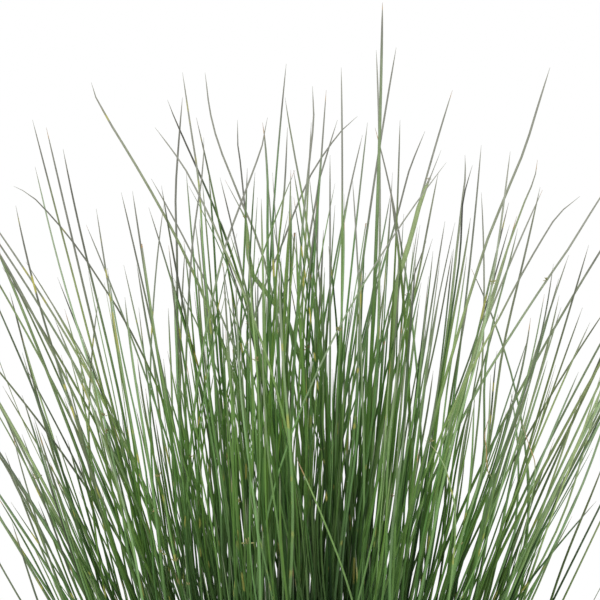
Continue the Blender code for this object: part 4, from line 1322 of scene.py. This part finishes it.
def flower_tree():
    """A spikelet stands on each point, along the point's aim and as long as its size."""
    tree, wire = geometry_tree("Spikelets", (("Sides", "Int", SPIKELET_SIDES), ("Material", "Material", None),
                                             ("Slimness", "Float", SPIKELET_SLIMNESS)))
    start = wire["Geometry"]
    line = start.node("GeometryNodeCurvePrimitiveLine", {}, {"Start": (0.0, 0.0, 0.0), "End": (0.0, 0.0, 1.0)})
    line = line.node("GeometryNodeResampleCurve", {}, {"Curve": line, "Count": 6})
    along = start.node("GeometryNodeSplineParameter", {}, {}, "Factor")
    round_off = (along * (1.04 - along) * 4.0 + 0.02) ** 0.6
    ring = start.node("GeometryNodeCurvePrimitiveCircle", {}, {"Resolution": wire["Sides"], "Radius": 1.0})
    spikelet = line.node("GeometryNodeCurveToMesh", {}, {
        "Curve": line, "Profile Curve": ring, "Scale": round_off * wire["Slimness"], "Fill Caps": True})
    aim = read_from(start, "aim", "FLOAT_VECTOR")
    turn = start.node("FunctionNodeAlignRotationToVector", {"axis": "Z"}, {"Vector": aim})
    placed = start.node("GeometryNodeInstanceOnPoints", {}, {
        "Points": start, "Instance": spikelet, "Rotation": turn, "Scale": read_from(start, "size")})
    return finish_tree(tree, placed, wire["Material"])


def flower_points(buds, rng):
    """A mesh of one point for each spikelet, with its aim and size."""
    points, aims, sizes, tones = [], [], [], []
    for place, size in buds:
        side = rng.uniform(0, 2 * math.pi)
        for _ in range(rng.randint(*SPIKELETS)):
            turn = side + rng.gauss(0, SPIKELET_TURN)
            aim = Vector((math.cos(turn), math.sin(turn), rng.uniform(*SPIKELET_RISE))).normalized()
            points.append((Vector(place) + aim * (size * rng.uniform(0.0, SPIKELET_REACH))) * MM)
            aims.append(aim)
            sizes.append(size * rng.uniform(*SPIKELET_SIZE) * MM)
            tones.append(rng.random())
    mesh = bpy.data.meshes.new("flower_tufts")
    mesh.from_pydata(points, [], [])
    for name, kind, field, values in (("aim", "FLOAT_VECTOR", "vector", aims),
                                      ("size", "FLOAT", "value", sizes), ("tone", "FLOAT", "value", tones)):
        flat = np.array(values, dtype=np.float32).ravel()
        mesh.attributes.new(name, kind, "POINT").data.foreach_set(field, flat)
    return mesh


# ---- operators

FLOOR_DROP = 0.0006  # metres that the floor lies below the pot
AIM = (0.0, 0.0, 0.55)  # where the lamps point, in metres
CAMERA_LENS = 300.0
SENSOR_WIDTH = 36.0


class RUSH_OT_stage(bpy.types.Operator):
    """Lay the pale floor, and set the studio lights and the camera"""
    bl_idname = "rush.stage"
    bl_label = "Stage"

    def execute(self, context):
        looks = context.scene.rush.stage
        bm = bmesh.new()
        bmesh.ops.create_circle(bm, cap_ends=True, segments=96, radius=looks.floor)
        bmesh.ops.translate(bm, verts=bm.verts, vec=(0, 0, -FLOOR_DROP))
        floor = link("studio_floor", mesh_of(bm, "studio_floor"))
        floor.data.materials.append(floor_material())

        world = bpy.data.worlds.new("Studio")
        world.use_nodes = True
        white = world.node_tree.nodes["Background"]
        white.inputs["Color"].default_value = (1.0, 1.0, 1.0, 1.0)
        seen = Wire(world.node_tree).node("ShaderNodeLightPath", {}, {}, "Is Camera Ray")
        glow = seen * (1.0 - looks.glow) + looks.glow
        world.node_tree.links.new(glow.socket, white.inputs["Strength"])
        context.scene.world = world
        for name, power, size, place in (("Key light", looks.key, 1.6, (-2.1, -2.3, 2.5)),
                                         ("Fill light", looks.fill, 2.0, (2.6, -1.9, 1.7)),
                                         ("Back light", looks.back, 1.8, (0.8, 2.6, 2.4))):
            light = bpy.data.lights.new(name, "AREA")
            light.energy, light.size = power, size
            lamp = link(name, light)
            lamp.location = place
            lamp.rotation_euler = (Vector(AIM) - Vector(place)).to_track_quat("-Z", "Y").to_euler()

        camera = bpy.data.cameras.new("Camera")
        camera.sensor_width, camera.lens = SENSOR_WIDTH, CAMERA_LENS
        eye = link("Camera", camera)
        eye.location = (0.0, -EYE_DISTANCE * MM, (MIX_TOP + EYE_HEIGHT) * MM)
        eye.rotation_euler = (math.pi / 2, 0.0, 0.0)
        context.scene.camera = eye
        context.scene.view_settings.view_transform = "Standard"
        return {"FINISHED"}


class RUSH_OT_pot(bpy.types.Operator):
    """Turn the nursery pot and cut its drainage holes"""
    bl_idname = "rush.pot"
    bl_label = "Pot"

    def execute(self, context):
        looks = context.scene.rush.pot
        lip = POT_HEIGHT - RIM_DEPTH
        collar = SHOULDER_RADIUS + COLLAR
        inside = [
            (pot_inner_radius(FLOOR), FLOOR), (pot_inner_radius(SHOULDER_HEIGHT), SHOULDER_HEIGHT),
            (collar - WALL - 1.4, SHOULDER_HEIGHT + 5.0), (collar - WALL, POT_HEIGHT - 1.6),
            (collar - WALL + 1.6, POT_HEIGHT), (RIM_RADIUS - 1.6, POT_HEIGHT), (RIM_RADIUS, POT_HEIGHT - 1.8),
            (RIM_RADIUS, lip + 0.8), (RIM_RADIUS - 1.0, lip), (collar - 0.4, lip),
            (collar - 1.4, SHOULDER_HEIGHT + 4.0),
        ]
        foot = [(BASE_RADIUS, FOOT_EDGE), (BASE_RADIUS - 2.0, 0.0), (BASE_RADIUS - 8.0, 0.0),
                (BASE_RADIUS - 9.0, 0.9), (0.0, 0.9)]
        profile = rounded([(0.0, FLOOR)] + inside + wall_profile() + foot, ROUNDING)
        pot = turned("pot_shell", profile, looks.facets)
        cutter = drain_cutter()
        cut = pot.modifiers.new("Drain holes", "BOOLEAN")
        cut.operation, cut.solver, cut.object = "DIFFERENCE", "EXACT", cutter
        plain(pot)
        bpy.data.objects.remove(cutter, do_unlink=True)
        pot.data.shade_smooth()
        pot.data.set_sharp_from_angle(angle=math.radians(35))
        pot.data.materials.clear()
        pot.data.materials.append(pot_material(looks))
        settle_piece(pot, "pot_plastic", "pot")
        return {"FINISHED"}


class RUSH_OT_potting_mix(bpy.types.Operator):
    """Fill the pot with lumpy potting mix and strew bark chips on it"""
    bl_idname = "rush.potting_mix"
    bl_label = "Potting mix"

    def execute(self, context):
        looks = context.scene.rush.mix
        mix = link("mix_plug", mix_mesh("mix_plug"))
        mix.data.materials.append(mix_material(looks))
        settle_piece(mix, "potting_mix", "potting_mix")
        bark = link("bark_chips", mix.data.copy())
        run_tree(bark, chip_tree(), {"Chips": looks.chips, "Chip size": looks.chip,
                                     "Material": bark_material(looks)})
        settle_piece(bark, "potting_mix")
        return {"FINISHED"}


class RUSH_OT_stems(bpy.types.Operator):
    """Grow every tuft's stems, with the brown sheaths at their feet"""
    bl_idname = "rush.stems"
    bl_label = "Stems"

    def execute(self, context):
        looks = context.scene.rush.clump
        tree, finish = strand_tree(), rush_material(looks)
        tufts = clump_strands(looks.rings, looks.fine_stems, looks.sway / MM)
        for number, strands in enumerate(tufts, 1):
            piece = strand_mesh(f"stems_{number:02d}", strands, looks.sides, tree, finish)
            settle_piece(piece, "rush_stem", f"tuft_{number:02d}")
        piece = strand_mesh("loose_stems", loose_strands(looks.rings), looks.sides, tree, finish)
        settle_piece(piece, "rush_stem")
        return {"FINISHED"}


class RUSH_OT_flowers(bpy.types.Operator):
    """Set small brown flowers on some of the stems"""
    bl_idname = "rush.flowers"
    bl_label = "Flowers"

    def execute(self, context):
        looks = context.scene.rush.clump
        rng = random.Random(FLOWER_SEED)
        buds = flower_buds(clump_strands(looks.rings, looks.fine_stems, looks.sway / MM), rng)
        flowers = link("flower_tufts", flower_points(buds, rng))
        run_tree(flowers, flower_tree(), {"Sides": SPIKELET_SIDES, "Slimness": SPIKELET_SLIMNESS,
                                          "Material": flower_material()})
        settle_piece(flowers, "rush_stem")
        return {"FINISHED"}


class RUSH_PT_panel(bpy.types.Panel):
    """Buttons for each group of pieces"""
    bl_idname = "RUSH_PT_panel"
    bl_label = "Rush clump"
    bl_space_type = "VIEW_3D"
    bl_region_type = "UI"
    bl_category = "Rush clump"

    def draw(self, context):
        for operator in OPERATORS:
            self.layout.operator(operator.bl_idname)
        for group in ("clump", "pot", "mix", "stage"):
            settings = getattr(context.scene.rush, group)
            column = self.layout.column(align=True)
            for name in settings.__annotations__:
                column.prop(settings, name)


SETTINGS = (ClumpSettings, PotSettings, MixSettings, StageSettings, RushSettings)
OPERATORS = (RUSH_OT_stage, RUSH_OT_pot, RUSH_OT_potting_mix, RUSH_OT_stems, RUSH_OT_flowers)
CLASSES = (*SETTINGS, *OPERATORS, RUSH_PT_panel)


def register():
    for made in CLASSES:
        bpy.utils.register_class(made)
    bpy.types.Scene.rush = PointerProperty(type=RushSettings)


def unregister():
    del bpy.types.Scene.rush
    for made in reversed(CLASSES):
        bpy.utils.unregister_class(made)


def main():
    register()
    bpy.ops.rush.stage()
    bpy.ops.rush.pot()
    bpy.ops.rush.potting_mix()
    bpy.ops.rush.stems()
    bpy.ops.rush.flowers()


if __name__ == "__main__":
    main()
